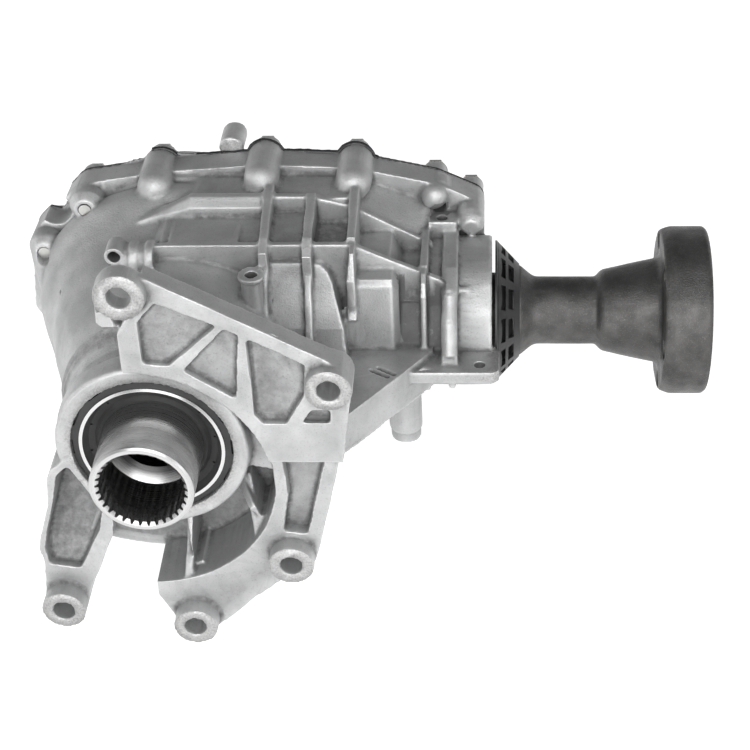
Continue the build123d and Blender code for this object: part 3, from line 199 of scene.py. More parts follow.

# %% [markdown]
# This group reads three masks that a casting carries on its own mesh: how far the skin stands proud at a small
# scale, how deep it lies at a wide scale, and where a cutter has been. It turns them into ridges for a painted
# highlight, hollows for painted shade, and cut faces. It breaks up the ridges and hollows with noise, so that
# neither ends on a clean line. A piece without these masks reads zero and stays plain.

# %% Painted highlights and shade, and cut faces
relief_light, entry, result = new_group(
    "relief_light_and_cuts",
    {"Ridge Height": 0.00045, "Hollow Depth": 0.0007, "Ragged": 210.0},
    ["Ridge", "Hollow", "Cut"],
)
masks = {}
for label in ("ridge", "hollow", "cut"):
    reader = relief_light.nodes.new("ShaderNodeAttribute")
    reader.attribute_name = label
    masks[label] = reader.outputs["Fac"]
ragged = spread(relief_light, noise(relief_light, entry.outputs["Ragged"], detail=4.0, rough=0.65), 0.3, 0.7, 0.55, 1.3)
for label, full, output in (("ridge", "Ridge Height", "Ridge"), ("hollow", "Hollow Depth", "Hollow")):
    share = math_node(relief_light, "DIVIDE", masks[label], entry.outputs[full])
    relief_light.links.new(math_node(relief_light, "MULTIPLY", share, ragged, clamp=True), result.inputs[output])
relief_light.links.new(masks["cut"], result.inputs["Cut"])
print("masks read:", sorted(masks))

# %% [markdown]
# `turning_marks` draws the fine rings that a lathe leaves. It needs only the distance from the axis and along
# it, so one group serves every shaft once a Mapping node has laid the shaft's axis on Z. The two distances
# are added up with a slant, so that both the end faces and the walls get rings.

# %% Turning marks
ring_slant = 0.83
bands_per_metre = 160.0
# Inside the bore radius, the colour turns darker over this depth.
bore_fade_depth = 0.004


def ring_noise(tree, travel, per_metre, detail):
    """Noise that changes only with the travel of the tool, so that it draws rings."""
    node = tree.nodes.new("ShaderNodeTexNoise")
    node.noise_dimensions = "1D"
    node.inputs["Detail"].default_value = detail
    node.inputs["Scale"].default_value = 1.0
    tree.links.new(math_node(tree, "MULTIPLY", travel, per_metre), node.inputs["W"])
    return node.outputs["Fac"]


turning, entry, result = new_group(
    "turning_marks", {"Rings per Metre": 2500.0, "Bore Radius": 0.0}, ["Height", "Bands", "Bore"]
)
turning.interface.new_socket(name="Place", in_out="INPUT", socket_type="NodeSocketVector")
apart = turning.nodes.new("ShaderNodeSeparateXYZ")
turning.links.new(entry.outputs["Place"], apart.inputs[0])
square_x = math_node(turning, "MULTIPLY", apart.outputs["X"], apart.outputs["X"])
square_y = math_node(turning, "MULTIPLY", apart.outputs["Y"], apart.outputs["Y"])
radius = math_node(turning, "SQRT", math_node(turning, "ADD", square_x, square_y))
travel = math_node(turning, "ADD", radius, math_node(turning, "MULTIPLY", apart.outputs["Z"], ring_slant))
rings = ring_noise(turning, travel, entry.outputs["Rings per Metre"], detail=5.0)
bands = ring_noise(turning, travel, bands_per_metre, detail=2.0)
inside_bore = math_node(turning, "SUBTRACT", entry.outputs["Bore Radius"], radius)
turning.links.new(rings, result.inputs["Height"])
turning.links.new(spread(turning, bands, 0.3, 0.7), result.inputs["Bands"])
turning.links.new(spread(turning, inside_bore, 0.0, bore_fade_depth), result.inputs["Bore"])
print("turning marks nodes:", len(turning.nodes))

# %% [markdown]
# A finish is a Principled shader fed by these groups. Most finishes here have the same parts: a colour that
# drifts between two tones, stains or rubbed places laid over it, a roughness that drifts too, and a bump.
# Each part has its own small helper, so that a finish reads like a recipe. All finishes go into one table.

# %% Helpers for finishes
finishes = {}


def new_finish(name, metallic):
    """Adds an empty material to the finishes, and gives its node tree and its Principled shader."""
    material = bpy.data.materials.new(name)
    material.use_nodes = True
    shader = material.node_tree.nodes["Principled BSDF"]
    shader.inputs["Metallic"].default_value = metallic
    finishes[name] = material
    return material.node_tree, shader


def place_group(tree, group, **values):
    """Places a shared group in a material. In the inputs' names, an underscore stands for a space."""
    node = tree.nodes.new("ShaderNodeGroup")
    node.node_tree = group
    for label, value in values.items():
        node.inputs[label.replace("_", " ")].default_value = value
    return node


def colour_mix(tree, factor, low, high):
    """Mixes two colours, given as values or sockets."""
    node = tree.nodes.new("ShaderNodeMix")
    node.data_type = "RGBA"
    tree.links.new(factor, node.inputs["Factor"])
    low_socket, high_socket = node.inputs[6], node.inputs[7]
    feed(tree, low, low_socket)
    feed(tree, high, high_socket)
    return node.outputs[2]


def lay_over(tree, base, tone, mask, share):
    """A base colour with a tone laid over it where a mask says, at most by a share."""
    return colour_mix(tree, math_node(tree, "MULTIPLY", mask, share), base, tone)


def roughen(tree, shader, mask, first, last, start=0.0, stop=1.0):
    """Takes the shader's roughness from first to last while a mask goes from start to stop."""
    tree.links.new(spread(tree, mask, start, stop, first, last), shader.inputs["Roughness"])


def bump(tree, shader, height, distance):
    """Feeds a height into the shader's normal."""
    node = tree.nodes.new("ShaderNodeBump")
    node.inputs["Distance"].default_value = distance
    tree.links.new(height, node.inputs["Height"])
    tree.links.new(node.outputs["Normal"], shader.inputs["Normal"])


# %% [markdown]
# Cast aluminium is pale and dull, with darker patches and tiny specks. Its hollows are darkened as painted shade,
# its ridges are lightened as a painted highlight, and the bolt faces are cut and then left to stain. The tones are
# laid over one another in this order.

# %% Cast aluminium
dull_skin, pale_skin = (0.40, 0.403, 0.406), (0.54, 0.543, 0.546)
# The middle tone here darkens the hollows as painted shade, and the last one lightens the ridges as a painted
# highlight.
speck, painted_shade, painted_highlight = (0.22, 0.22, 0.22), (0.11, 0.11, 0.11), (0.84, 0.84, 0.84)
stained_cut, clean_cut = (0.25, 0.25, 0.25), (0.50, 0.50, 0.495)

tree, shader = new_finish("cast_aluminium", 0.8)
skin = place_group(tree, grain, Grain_Scale=950.0, Patch_Scale=38.0)
relief_masks = place_group(tree, relief_light)
base = colour_mix(tree, skin.outputs["Patches"], dull_skin, pale_skin)
base = lay_over(tree, base, speck, skin.outputs["Specks"], 0.55)
# Painted shade: the hollows are darkened.
base = lay_over(tree, base, painted_shade, relief_masks.outputs["Hollow"], 0.8)
# Painted highlight: the ridges are lightened.
base = lay_over(tree, base, painted_highlight, relief_masks.outputs["Ridge"], 0.6)
stain = spread(tree, noise(tree, 800.0, detail=5.0, rough=0.7), 0.34, 0.56)
cut_face = colour_mix(tree, stain, stained_cut, clean_cut)
base = lay_over(tree, base, cut_face, relief_masks.outputs["Cut"], 0.85)
tree.links.new(base, shader.inputs["Base Color"])
rough = spread(tree, skin.outputs["Patches"], 0.0, 1.0, 0.60, 0.50)
rough = math_node(tree, "ADD", rough, math_node(tree, "MULTIPLY", relief_masks.outputs["Hollow"], 0.2))
rough = math_node(tree, "SUBTRACT", rough, math_node(tree, "MULTIPLY", relief_masks.outputs["Ridge"], 0.15))
tree.links.new(rough, shader.inputs["Roughness"])
bump(tree, shader, skin.outputs["Height"], 0.0005)
print("cast aluminium nodes:", len(tree.nodes))

# %% [markdown]
# The steels differ in how they were made. A turned piece has rings and broad bands about its axis, and both turned
# pieces here turn about Y, so a Mapping node stands Y up as Z. The inside of the shaft is made darker. Pressed,
# plated and hardened pieces are smooth, with faint clouds.

# %% Steel finishes
# Edges of steel are lightened towards this tone, as a painted highlight.
steel_highlight = (0.85, 0.85, 0.85)
# Inside a bore, steel is darkened towards this tone.
bore_dark_steel = (0.12, 0.12, 0.12)


def turned_metal(name, dark, light, rough, rings, bore=0.0):
    """Adds steel turned on a lathe about Y, darker inside a bore of the given radius."""
    tree, shader = new_finish(name, 1.0)
    place = tree.nodes.new("ShaderNodeTexCoord")
    turn = tree.nodes.new("ShaderNodeMapping")
    turn.vector_type = "TEXTURE"
    turn.inputs["Rotation"].default_value = (math.pi / 2, 0, 0)
    tree.links.new(place.outputs["Object"], turn.inputs["Vector"])
    marks = place_group(tree, turning, Rings_per_Metre=rings, Bore_Radius=bore)
    tree.links.new(turn.outputs["Vector"], marks.inputs["Place"])
    edge = place_group(tree, highlight_edges, Radius=0.0005, Break_Up=500.0)
    base = colour_mix(tree, marks.outputs["Bands"], dark, light)
    # Painted highlight: the edges are lightened.
    base = lay_over(tree, base, steel_highlight, edge.outputs["Edge"], 0.5)
    base = colour_mix(tree, marks.outputs["Bore"], base, bore_dark_steel)
    tree.links.new(base, shader.inputs["Base Color"])
    roughen(tree, shader, marks.outputs["Height"], rough - 0.06, rough + 0.08, 0.3, 0.7)
    bump(tree, shader, marks.outputs["Height"], 0.00002)


def plain_metal(name, dark, light, rough):
    """Adds plated, pressed or hardened steel with faint clouding."""
    tree, shader = new_finish(name, 1.0)
    skin = place_group(tree, grain, Grain_Scale=1500.0, Patch_Scale=120.0)
    edge = place_group(tree, highlight_edges, Radius=0.0004, Break_Up=600.0)
    base = colour_mix(tree, skin.outputs["Patches"], dark, light)
    # Painted highlight: the edges are lightened.
    base = lay_over(tree, base, steel_highlight, edge.outputs["Edge"], 0.45)
    tree.links.new(base, shader.inputs["Base Color"])
    roughen(tree, shader, skin.outputs["Patches"], rough - 0.04, rough + 0.06)
    bump(tree, shader, skin.outputs["Height"], 0.00005)


shaft_bore_r = 0.0262
turned_metal("ground_steel", (0.50, 0.50, 0.50), (0.62, 0.62, 0.62), 0.26, 2500.0, shaft_bore_r)
turned_metal("bright_steel", (0.62, 0.62, 0.62), (0.74, 0.74, 0.74), 0.22, 900.0)
plain_metal("gear_steel", (0.33, 0.33, 0.34), (0.42, 0.42, 0.43), 0.34)
plain_metal("bearing_steel", (0.55, 0.55, 0.56), (0.63, 0.63, 0.64), 0.2)
plain_metal("zinc_steel", (0.50, 0.50, 0.48), (0.62, 0.62, 0.60), 0.34)
plain_metal("black_steel", (0.045, 0.045, 0.045), (0.075, 0.075, 0.075), 0.42)
print("finishes so far:", list(finishes))

# %% [markdown]
# The output flange is a forging that was heated and quenched, which leaves a dark, slightly rough scale. Its edges
# are lightened towards a paler steel, as a painted highlight. The grain of the casting serves again, only coarser
# and deeper, because scale too is pitted.

# %% Forged steel
dark_scale, thin_scale = (0.066, 0.065, 0.064), (0.120, 0.118, 0.116)
scale_speck, edge_highlight_tone = (0.24, 0.235, 0.23), (0.42, 0.41, 0.40)

tree, shader = new_finish("forged_steel", 0.8)
skin = place_group(tree, grain, Grain_Scale=1100.0, Patch_Scale=70.0)
edge = place_group(tree, highlight_edges, Radius=0.0012, Break_Up=300.0)
base = colour_mix(tree, skin.outputs["Patches"], dark_scale, thin_scale)
base = lay_over(tree, base, scale_speck, skin.outputs["Specks"], 0.4)
# Painted highlight: the edges are lightened.
base = lay_over(tree, base, edge_highlight_tone, edge.outputs["Edge"], 0.45)
tree.links.new(base, shader.inputs["Base Color"])
roughen(tree, shader, skin.outputs["Patches"], 0.5, 0.4)
bump(tree, shader, skin.outputs["Height"], 0.0006)
print("forged steel nodes:", len(tree.nodes))

# %% [markdown]
# Plastic, rubber and sealant are all black here and differ in gloss: the moulded deflector is satin, the
# rubber lip is dull, and cured sealant has a soft shine. One function makes all three, with other numbers.

# %% Black finishes
def black_finish(name, dark, light, rough, grain_scale, distance):
    """Adds a black moulded material, with the height of its grain in metres."""
    tree, shader = new_finish(name, 0.0)
    skin = place_group(tree, grain, Grain_Scale=grain_scale, Patch_Scale=90.0)
    base = colour_mix(tree, skin.outputs["Patches"], dark, light)
    tree.links.new(base, shader.inputs["Base Color"])
    roughen(tree, shader, skin.outputs["Patches"], rough - 0.05, rough + 0.08)
    bump(tree, shader, skin.outputs["Height"], distance)


black_finish("black_plastic", (0.018, 0.018, 0.019), (0.032, 0.032, 0.033), 0.42, 1400.0, 0.00012)
black_finish("black_rubber", (0.016, 0.016, 0.016), (0.03, 0.03, 0.03), 0.6, 1200.0, 0.0001)
black_finish("black_sealant", (0.012, 0.012, 0.013), (0.022, 0.022, 0.023), 0.3, 500.0, 0.0004)
print("finishes:", list(finishes))

# %% [markdown]
# Every CAD node first gets the finish that its slot in the record names, so nothing is left plain. The
# finishes are named like the slots, so the table finds each one.

# %% Finishes on the CAD nodes
for part in frame["record"]["subparts"]:
    node = nodes[part["node"]]
    node.data.materials.clear()
    node.data.materials.append(finishes[part["material_slot"]])
print("finished nodes:", len(nodes))

# %% [markdown]
# A casting has no sharp corners, because metal must flow and the mould must release it. The CAD solid has
# them. Bevelling so many edges of a mesh often fails where ribs cross, so the casting is remade instead: the
# solid is turned to small voxels, the surface is drawn round them, and a few passes of smoothing melt the
# edges. Small cast forms that the solid leaves out are added first, as plain blocks and bars that overlap it,
# and the voxels weld them on.

# %% Helpers for blocks and bars
def plate(start, stop, outline):
    """Corners of a plate that lies across X, from its outline in Y and Z."""
    return [(x, y, z) for x in (start, stop) for y, z in outline]


def rod(start, end, radius, end_radius=None, sides=20):
    """Corners of a round bar or cone between two points."""
    start, end = Vector(start), Vector(end)
    turn = (end - start).to_track_quat("Z", "Y")
    corners = []
    for centre, size in ((start, radius), (end, radius if end_radius is None else end_radius)):
        for step in range(sides):
            angle = 2 * math.pi * step / sides
            corners.append(centre + turn @ Vector((size * math.cos(angle), size * math.sin(angle), 0)))
    return corners


def add_hull(shape, corners):
    """Adds the closed hull of some corners, in millimetres, to a mesh that is being built."""
    verts = [shape.verts.new([c / 1000 for c in corner]) for corner in corners]
    made = bmesh.ops.convex_hull(shape, input=verts)
    spare = set(made["geom_interior"]) | set(made["geom_unused"])
    bmesh.ops.delete(shape, geom=[v for v in spare if isinstance(v, bmesh.types.BMVert)], context="VERTS")


def linked(name, mesh):
    """New object in the scene that shows a mesh."""
    piece = bpy.data.objects.new(name, mesh)
    bpy.context.scene.collection.objects.link(piece)
    return piece


def solid_object(name, hulls=(), mesh=None):
    """Object that holds one closed hull per list of corners, beside a mesh whose doubles are merged."""
    mesh = mesh or bpy.data.meshes.new(name)
    shape = bmesh.new()
    shape.from_mesh(mesh)
    bmesh.ops.remove_doubles(shape, verts=shape.verts, dist=1e-6)
    for corners in hulls:
        add_hull(shape, corners)
    shape.to_mesh(mesh)
    shape.free()
    return linked(name, mesh)


def applied(piece):
    """The piece with its modifiers worked into its mesh."""
    bpy.context.view_layer.update()
    mesh = bpy.data.meshes.new_from_object(piece.evaluated_get(bpy.context.evaluated_depsgraph_get()))
    piece.modifiers.clear()
    piece.data = mesh
    return piece


def triangle_count(mesh):
    """Number of triangles that the faces of a mesh come to."""
    return sum(len(face.vertices) - 2 for face in mesh.polygons)


# %% [markdown]
# The painted highlight and painted shade on a casting need to know ridges from hollows. Each vertex is compared
# with the average of its neighbours, their neighbours and so on: after a few rounds the average has sunk below a
# sharp ridge, after many it shows which places lie in a wide hollow.

# %% Ridges and hollows
ridge_rounds, hollow_rounds = 3, 9


def array_of(items, field, width, kind):
    """A field of a mesh collection as an array with one row per item."""
    values = np.empty(len(items) * width, kind)
    items.foreach_get(field, values)
    return values.reshape(-1, width)


def stand_proud(mesh):
    """Places of the vertices, and their height over their surroundings after few and after many rounds."""
    places = array_of(mesh.vertices, "co", 3, np.float64)
    normals = array_of(mesh.vertices, "normal", 3, np.float64)
    near, far = array_of(mesh.edges, "vertices", 2, np.int32).T
    count = len(places)
    links = np.maximum(np.bincount(near, minlength=count) + np.bincount(far, minlength=count), 1)
    calm, heights = places.copy(), []
    for turn in range(hollow_rounds):
        sums = [
            np.bincount(near, calm[far, i], count) + np.bincount(far, calm[near, i], count)
            for i in range(3)
        ]
        calm = np.stack(sums, 1) / links[:, None]
        if turn + 1 in (ridge_rounds, hollow_rounds):
            heights.append(((places - calm) * normals).sum(1))
    return places, *heights


def set_mask(mesh, label, values):
    """Stores one number per vertex under a name that materials can read."""
    layer = mesh.attributes.new(label, "FLOAT", "POINT")
    layer.data.foreach_set("value", np.asarray(values, np.float32))


# %% [markdown]
# Real castings are never quite flat. A few crossed waves, 16 to 45 mm long and a fraction of a millimetre
# deep, sink the skin here and there, so that broad faces catch the light unevenly. A bump map could fake
# this, but not on the outline, and the waves are wide enough for the mesh. The skin only ever sinks, so the
# casting never grows past its solid.

# %% Waves
wave_count = 9
shortest_wave, longest_wave = 0.016, 0.045
wave_steepness = 0.6
wave_rng = np.random.default_rng(7)
wave_ways = wave_rng.normal(size=(wave_count, 3))
wave_lengths = wave_rng.uniform(shortest_wave, longest_wave, wave_count)
wave_ways *= (2 * math.pi / wave_lengths / np.linalg.norm(wave_ways, axis=1))[:, None]
wave_starts = wave_rng.uniform(0, 2 * math.pi, wave_count)
print("wave lengths, mm:", np.round(np.sort(wave_lengths) * 1000, 1).tolist())


def sink(piece, depth):
    """Moves the uncut skin inwards by up to depth, in waves."""
    mesh = piece.data
    places = array_of(mesh.vertices, "co", 3, np.float64)
    normals = array_of(mesh.vertices, "normal", 3, np.float64)
    cut = array_of(mesh.attributes["cut"].data, "value", 1, np.float32)
    waves = np.sin(places @ wave_ways.T + wave_starts).sum(1, keepdims=True)
    places -= normals * (0.5 + 0.5 * np.tanh(waves * wave_steepness)) * depth * (1 - cut)
    mesh.vertices.foreach_set("co", places.ravel())
    mesh.update()


# %% [markdown]
# Small bores and deep corners lie in shade that the measured masks miss, because a bore's wall is smooth and
# nearly flat at the scale of a vertex. So the skin near each listed line is marked as a hollow, which paints shade
# there.

# %% Painted shade in bores and corners
def shade_spots(piece, spots):
    """Marks the skin round each line (start, end, radius), in millimetres, as a hollow of a given depth, which
    paints shade there.
    """
    places = array_of(piece.data.vertices, "co", 3, np.float64) * 1000
    hollow = array_of(piece.data.attributes["hollow"].data, "value", 1, np.float32).ravel()
    for start, end, radius, depth in spots:
        start, way = np.array(start), np.array(end) - np.array(start)
        share = (places - start) @ way / (way @ way)
        away = np.linalg.norm(places - start - share[:, None] * way, axis=1)
        inside = (share > 0) & (share < 1) & (away < radius)
        hollow[inside] = np.maximum(hollow[inside], depth / 1000)
    piece.data.attributes["hollow"].data.foreach_set("value", hollow)


# %% [markdown]
# A casting goes through five steps: hollows are cut, voxels weld and even out the surface, smoothing melts
# it except where a cutter has been, the masks are measured, and the surface is thinned. The masks are
# measured before the thinning, while all vertices still have the same spacing, and each vertex that is left
# takes the values of the nearest measured one.

# %% Castings from their solids
smoothing_passes = 3


def carve(piece, cutter):
    """Adds a modifier that cuts the cutter's hulls out of a piece."""
    carving = piece.modifiers.new("hollows", "BOOLEAN")
    carving.operation = "DIFFERENCE"
    carving.solver = "EXACT"
    carving.use_self = True
    carving.object = cutter


def nearest_of(places, mesh):
    """For each vertex of a mesh, the index of the nearest of some places."""
    tree = KDTree(len(places))
    for index, place in enumerate(places):
        tree.insert(place, index)
    tree.balance()
    return [tree.find(vertex.co)[1] for vertex in mesh.vertices]


def casting(node, name, voxel, triangles, machined, blocks=(), hollows=()):
    """Soft-edged copy of a CAD node, with blocks added and hollows cut.

    The voxels' size is in metres, and machined(places) says where a cutter has been.
    """
    piece = solid_object(name, blocks, nodes[node].data.copy())
    cutter = solid_object("cutter", hollows)
    if hollows:
        carve(piece, cutter)
    remesh = piece.modifiers.new("voxels", "REMESH")
    remesh.mode = "VOXEL"
    remesh.voxel_size = voxel
    remesh.use_smooth_shade = True
    applied(piece)
    bpy.data.objects.remove(cutter)
    cut = machined(array_of(piece.data.vertices, "co", 3, np.float64))
    soft = piece.vertex_groups.new(name="cast skin")
    soft.add(np.flatnonzero(~cut).tolist(), 1.0, "REPLACE")
    smooth = piece.modifiers.new("soften", "SMOOTH")
    smooth.iterations = smoothing_passes
    smooth.vertex_group = "cast skin"
    applied(piece)
    places, ridge, above = stand_proud(piece.data)
    thin = piece.modifiers.new("thin", "DECIMATE")
    thin.ratio = min(1.0, triangles / (2 * len(piece.data.polygons)))
    applied(piece)
    nearest = nearest_of(places, piece.data)
    set_mask(piece.data, "ridge", np.clip(ridge[nearest], 0, None))
    set_mask(piece.data, "hollow", np.clip(-above[nearest], 0, None))
    set_mask(piece.data, "cut", cut[nearest])
    piece.data.shade_smooth()
    print(name, "triangles", triangle_count(piece.data))
    return piece


def dress(piece, slot, body, *replaced):
    """Gives a new piece the finish of a slot, and its place in the frame."""
    piece.data.materials.clear()
    piece.data.materials.append(finishes[slot])
    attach(piece, body)
    if replaced:
        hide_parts(*replaced)


# %% [markdown]
# The housing is cut at the gearbox bosses, the parting plane, the bearing and seal bores and the mouth of the
# nose. A cut face keeps its flatness and its sharp rim, so its vertices are left out of the smoothing. Each
# face is found from its place, a little wider than it is, since voxels don't end exactly on it.

# %% Cut faces of the housing
cut_margin = 0.0004
front_bore_r, chamber_start = 0.0505, 0.2
nose_mouth_x, nose_bore_x, nose_bore_r = 0.1965, 0.14, 0.0405


def housing_cut(places):
    """True on the housing's bolt faces, parting face and bores."""
    x, y, z = places.T
    bore = (np.hypot(x, z) < front_bore_r) & (y < chamber_start)
    nose = (x > nose_mouth_x) | ((x > nose_bore_x) & (np.hypot(y - output_y, z) < nose_bore_r))
    return (y < cut_margin) | (y > housing_end - cut_margin) | bore | nose


# %% [markdown]
# These small forms are cast with the housing and carry nothing, so they are left out of the solid and added
# here: ribs run out, bosses get their round ends, and a pointed blade stands below the front rib. Their
# corners are in millimetres, as (x, y, z), and a plate's outline is in (y, z).

# %% Blocks added to the housing
long_rib = [(114, 73), (110, 62), (93.5, 25), (90, 6), (109, 6), (120, 62), (120, 73)]
barrel_panel = [
    *plate(116, 137, [(104.2, 7), (104.2, 51), (107, 55), (125, 58), (117, 7)]),
    *plate(137, 141, [(109, 7), (109, 46), (112, 50), (125, 52), (117, 7)]),
]
panel_foot = plate(107, 118, [(104.0, 7), (104.2, 26), (109, 34), (109, 7)])
upright_rib = plate(154, 157.6, [(103.5, 7), (103, 44), (106, 52), (112, 56), (125, 56), (117, 7)])
pointed_blade = [
    (112, 106, 74), (115, 106, 74), (112, 118, 74), (115, 118, 74),
    (109.8, 99.5, 57), (115.6, 99.5, 57), (109.8, 114, 57), (115.6, 114, 57),
    (110.4, 100.2, 40), (115.4, 100.2, 40), (112.6, 103.6, 27.5), (113, 112, 27),
]
bell_fairing = [
    (12, 148.7, 80), (12, 154, 85.4), (12, 160, 85.4), (12, 148.7, 70), (12, 160, 70),
    (-23, 148.5, 70.5), (-23, 156, 71), (-22, 150, 66), (-22, 156, 64),
]
column_path = [(171.3, 130, 46.5), (171.3, 112.8, 39.6), (171.3, 101, 27.2), (171.3, 93.8, 8)]
column_front = [rod(start, end, 5.0, sides=14) for start, end in zip(column_path, column_path[1:])]
corner_barrel = [
    *rod((184.0, 200, 54.5), (184.0, 173, 54), 8.4),
    *rod((184.0, 173, 54), (184.0, 168.5, 53), 8.2, 5.5),
]
rough_boss = [
    *rod((163, 200, 66), (163, 189, 66), 10),
    *rod((163, 189, 66), (163, 185.5, 68), 9.6, 7),
]
nose_rib = [
    (176, 124, 38), (176, 121, 35.5), (176, 119.3, 36.8), (176, 122.3, 39.4),
    (188, 124.5, 35), (188, 127, 37),
]
boss_ear = [
    (-19.6, 7, 99), (-20, 7, 92), (-17.5, 7, 89), (-9, 7, 88.5), (-12, 7, 100),
    (-21, 14, 101), (-21.5, 14, 91), (-18, 14, 87.5), (-7, 14, 87.5), (-10, 14, 101),
]
post_end = rod((141.5, 122, -66), (141.5, 122, -75.2), 9.8)
recess_rib = plate(8.6, 13.9, [(56, -66), (56, -108), (13.5, -105), (13.5, -100), (42, -76)])
recess_bar = [
    (46.5, 40, -42), (51.5, 40, -40), (46.5, 56, -42), (51.5, 56, -40), (54.8, 14.5, -72),
    (59.8, 14.5, -70), (54.8, 14.5, -76), (60.5, 14.5, -74), (54, 56, -78), (61, 56, -76),
]
housing_blocks = [plate(start, stop, long_rib) for start, stop in ((57.2, 61.8), (84.0, 88.6))]
housing_blocks += [barrel_panel, panel_foot, upright_rib, pointed_blade, bell_fairing, *column_front]
housing_blocks += [corner_barrel, rough_boss, nose_rib, boss_ear, post_end, recess_rib, recess_bar]
print("blocks on the housing:", len(housing_blocks))

# %% [markdown]
# A few hollows go the other way. Where a form of the solid stands in the way of the finer one added above, it
# is cut off, and a notch, the mouth of a bolt hole and two narrow slots in the web are cut in. A painted slot
# would look flat from the side, and a slot that is really cut is dark by itself.

# %% Hollows cut into the housing
slot_centres = [(129.2, 78.5), (132.9, 81.0)]
slot_length, slot_width = 15, 2.4
slot_floor, slot_top = 3.2, 7
slot_way, slot_side = Vector((0.839, -0.545, 0)), Vector((0.545, 0.839, 0))
gap_start, gap_end = 12, 51.95
output_mm = output_y * 1000


def web_slot(centre):
    """Corners of a narrow slot that drains the web."""
    corners = []
    for along in (-slot_length / 2, slot_length / 2):
        for across in (-slot_width / 2, slot_width / 2):
            corner = Vector((*centre, 0)) + slot_way * along + slot_side * across
            corners += [corner + Vector((0, 0, z)) for z in (slot_floor, slot_top)]
    return corners


def recess_gap(outline):
    """Corners of a gap in the round recess, from its outline in X and Z."""
    return [(x, y, z) for y in (gap_start, gap_end) for x, z in outline]


blade_foot = plate(108.5, 116.5, [(88, 6.3), (88, 8), (104, 8), (103.8, 6.3)])
blade_body = plate(108.5, 116.5, [(88, 8), (88, 36), (103.9, 27), (103.9, 8)])
boss_notch = rod((163.5, 182, 59.8), (163.5, 192, 59.8), 4.4)
left_bolt_mouth = rod((-91.3, 150, 34.7), (-91.3, 169.7, 34.7), 4.4)
left_gap = recess_gap([(14.1, -66), (27, -66), (27, -91.5), (14.1, -98.5)])
right_gap = recess_gap([(53.8, -46), (58, -46), (63, -53.5), (60, -61), (58.5, -60)])
roller_room = rod((140.6, output_mm, 0), (148, output_mm, 0), 36.2, sides=48)
housing_hollows = [blade_foot, blade_body, boss_notch, left_bolt_mouth, left_gap, right_gap, roller_room]
housing_hollows += [web_slot(centre) for centre in slot_centres]
print("hollows in the housing:", len(housing_hollows))

# %% [markdown]
# Now the housing is cast. Its voxels are 1 mm, small enough for every rib, and it is thinned to just under 200,000
# triangles. Painted shade then goes into the bores of the lugs, the pad and the notch, on the floors of the recess
# and of the left arm's pocket, and into the corners beside the upright rib.

# %% Main housing
# Lines (start, end, radius, depth) that get painted shade: bores, then floors, then corners.
shaded_bores = [
    ((165.5, 175.1, 30), (165.5, 175.1, 56), 3.6, 3),
    ((189.5, 91.6, -6), (189.5, 91.6, 2.2), 4.0, 3),
    ((53, 101, 40), (53, 101, 61.5), 4.2, 3),
    ((-31, 111, 69), (-31, 130, 69), 4.0, 3),
    ((163.5, 172, 59.8), (163.5, 193, 59.8), 5.4, 3),
]
shaded_floors = [
    ((-11, 46, -23), (-11, 60, -23), 79, 0.4),
    ((-58, 14, -40), (-58, 60, -40), 26, 0.45),
    ((-64, 14, -78), (-64, 60, -78), 17, 0.45),
]
shaded_corners = [
    ((148.5, 119, 3), (148.5, 119, 52), 11, 0.9),
    ((161.5, 114, 3), (161.5, 114, 48), 8, 0.9),
]
housing_casting = casting(
    "main_housing", "housing_casting", 0.0010, 195000, housing_cut, housing_blocks, housing_hollows
)
sink(housing_casting, 0.0005)
shade_spots(housing_casting, shaded_bores + shaded_floors + shaded_corners)
dress(housing_casting, "cast_aluminium", "case", "main_housing")

# %% [markdown]
# The rear cover is cast in the same metal and goes through the same steps. Only its joint face and the bore
# for its seal are cut.

# %% Rear cover
cover_bore_r = 0.0405


def cover_cut(places):
    """True on the cover's joint face and its bore."""
    x, y, z = places.T
    return (y < cover_start + cut_margin) | (np.hypot(x, z) < cover_bore_r)


cover_casting = casting("rear_cover", "cover_casting", 0.0011, 90000, cover_cut)
sink(cover_casting, 0.0004)
dress(cover_casting, "cast_aluminium", "case", "rear_cover")

# %% [markdown]
# The cover's bolts have low heads, so they hardly show from the front. A copy of the CAD bolts is pressed
# flatter above the seat of the heads. The copy's loose triangles are merged first. That spoils the normals
# which came with them, so these go, and sharp edges keep flat faces apart from round ones.

# %% Cover bolts
head_height, low_head = 0.007, 0.6
sharp_angle = math.radians(30)
flat_bolts = solid_object("flat_bolts", mesh=nodes["cover_bolts"].data.copy())
imported_normals = flat_bolts.data.attributes.get("custom_normal")
if imported_normals:
    flat_bolts.data.attributes.remove(imported_normals)
flat_bolts.data.shade_smooth()
flat_bolts.data.set_sharp_from_angle(angle=sharp_angle)
seat_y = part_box("cover_bolts")[1].y - head_height
for vertex in flat_bolts.data.vertices:
    vertex.co.y = min(vertex.co.y, seat_y + (vertex.co.y - seat_y) * low_head)
dress(flat_bolts, "zinc_steel", "case", "cover_bolts")
print("head height, mm:", round(head_height * low_head * 1000, 1))

# %% [markdown]
# The flange is forged, and then turned on its face, in its socket and at the end of its hub, so its neck and
# rim stay soft-edged. It is remade as the castings are, with shallower waves, because forging leaves a truer
# skin than casting.

# %% Output flange
face_margin = 0.0005
socket_start, socket_r, hub_end = 0.3, 0.03, 0.215


def flange_cut(places):
    """True on the flange's turned face, its socket and the end of its hub."""
    x, y, z = places.T
    socket = (x > socket_start) & (np.hypot(y - output_y, z) < socket_r)
    return (x > flange_face - face_margin) | socket | (x < hub_end)


flange_forging = casting("output_flange", "flange_forging", 0.0009, 110000, flange_cut)
sink(flange_forging, 0.00025)
dress(flange_forging, "forged_steel", "output_line", "output_flange")

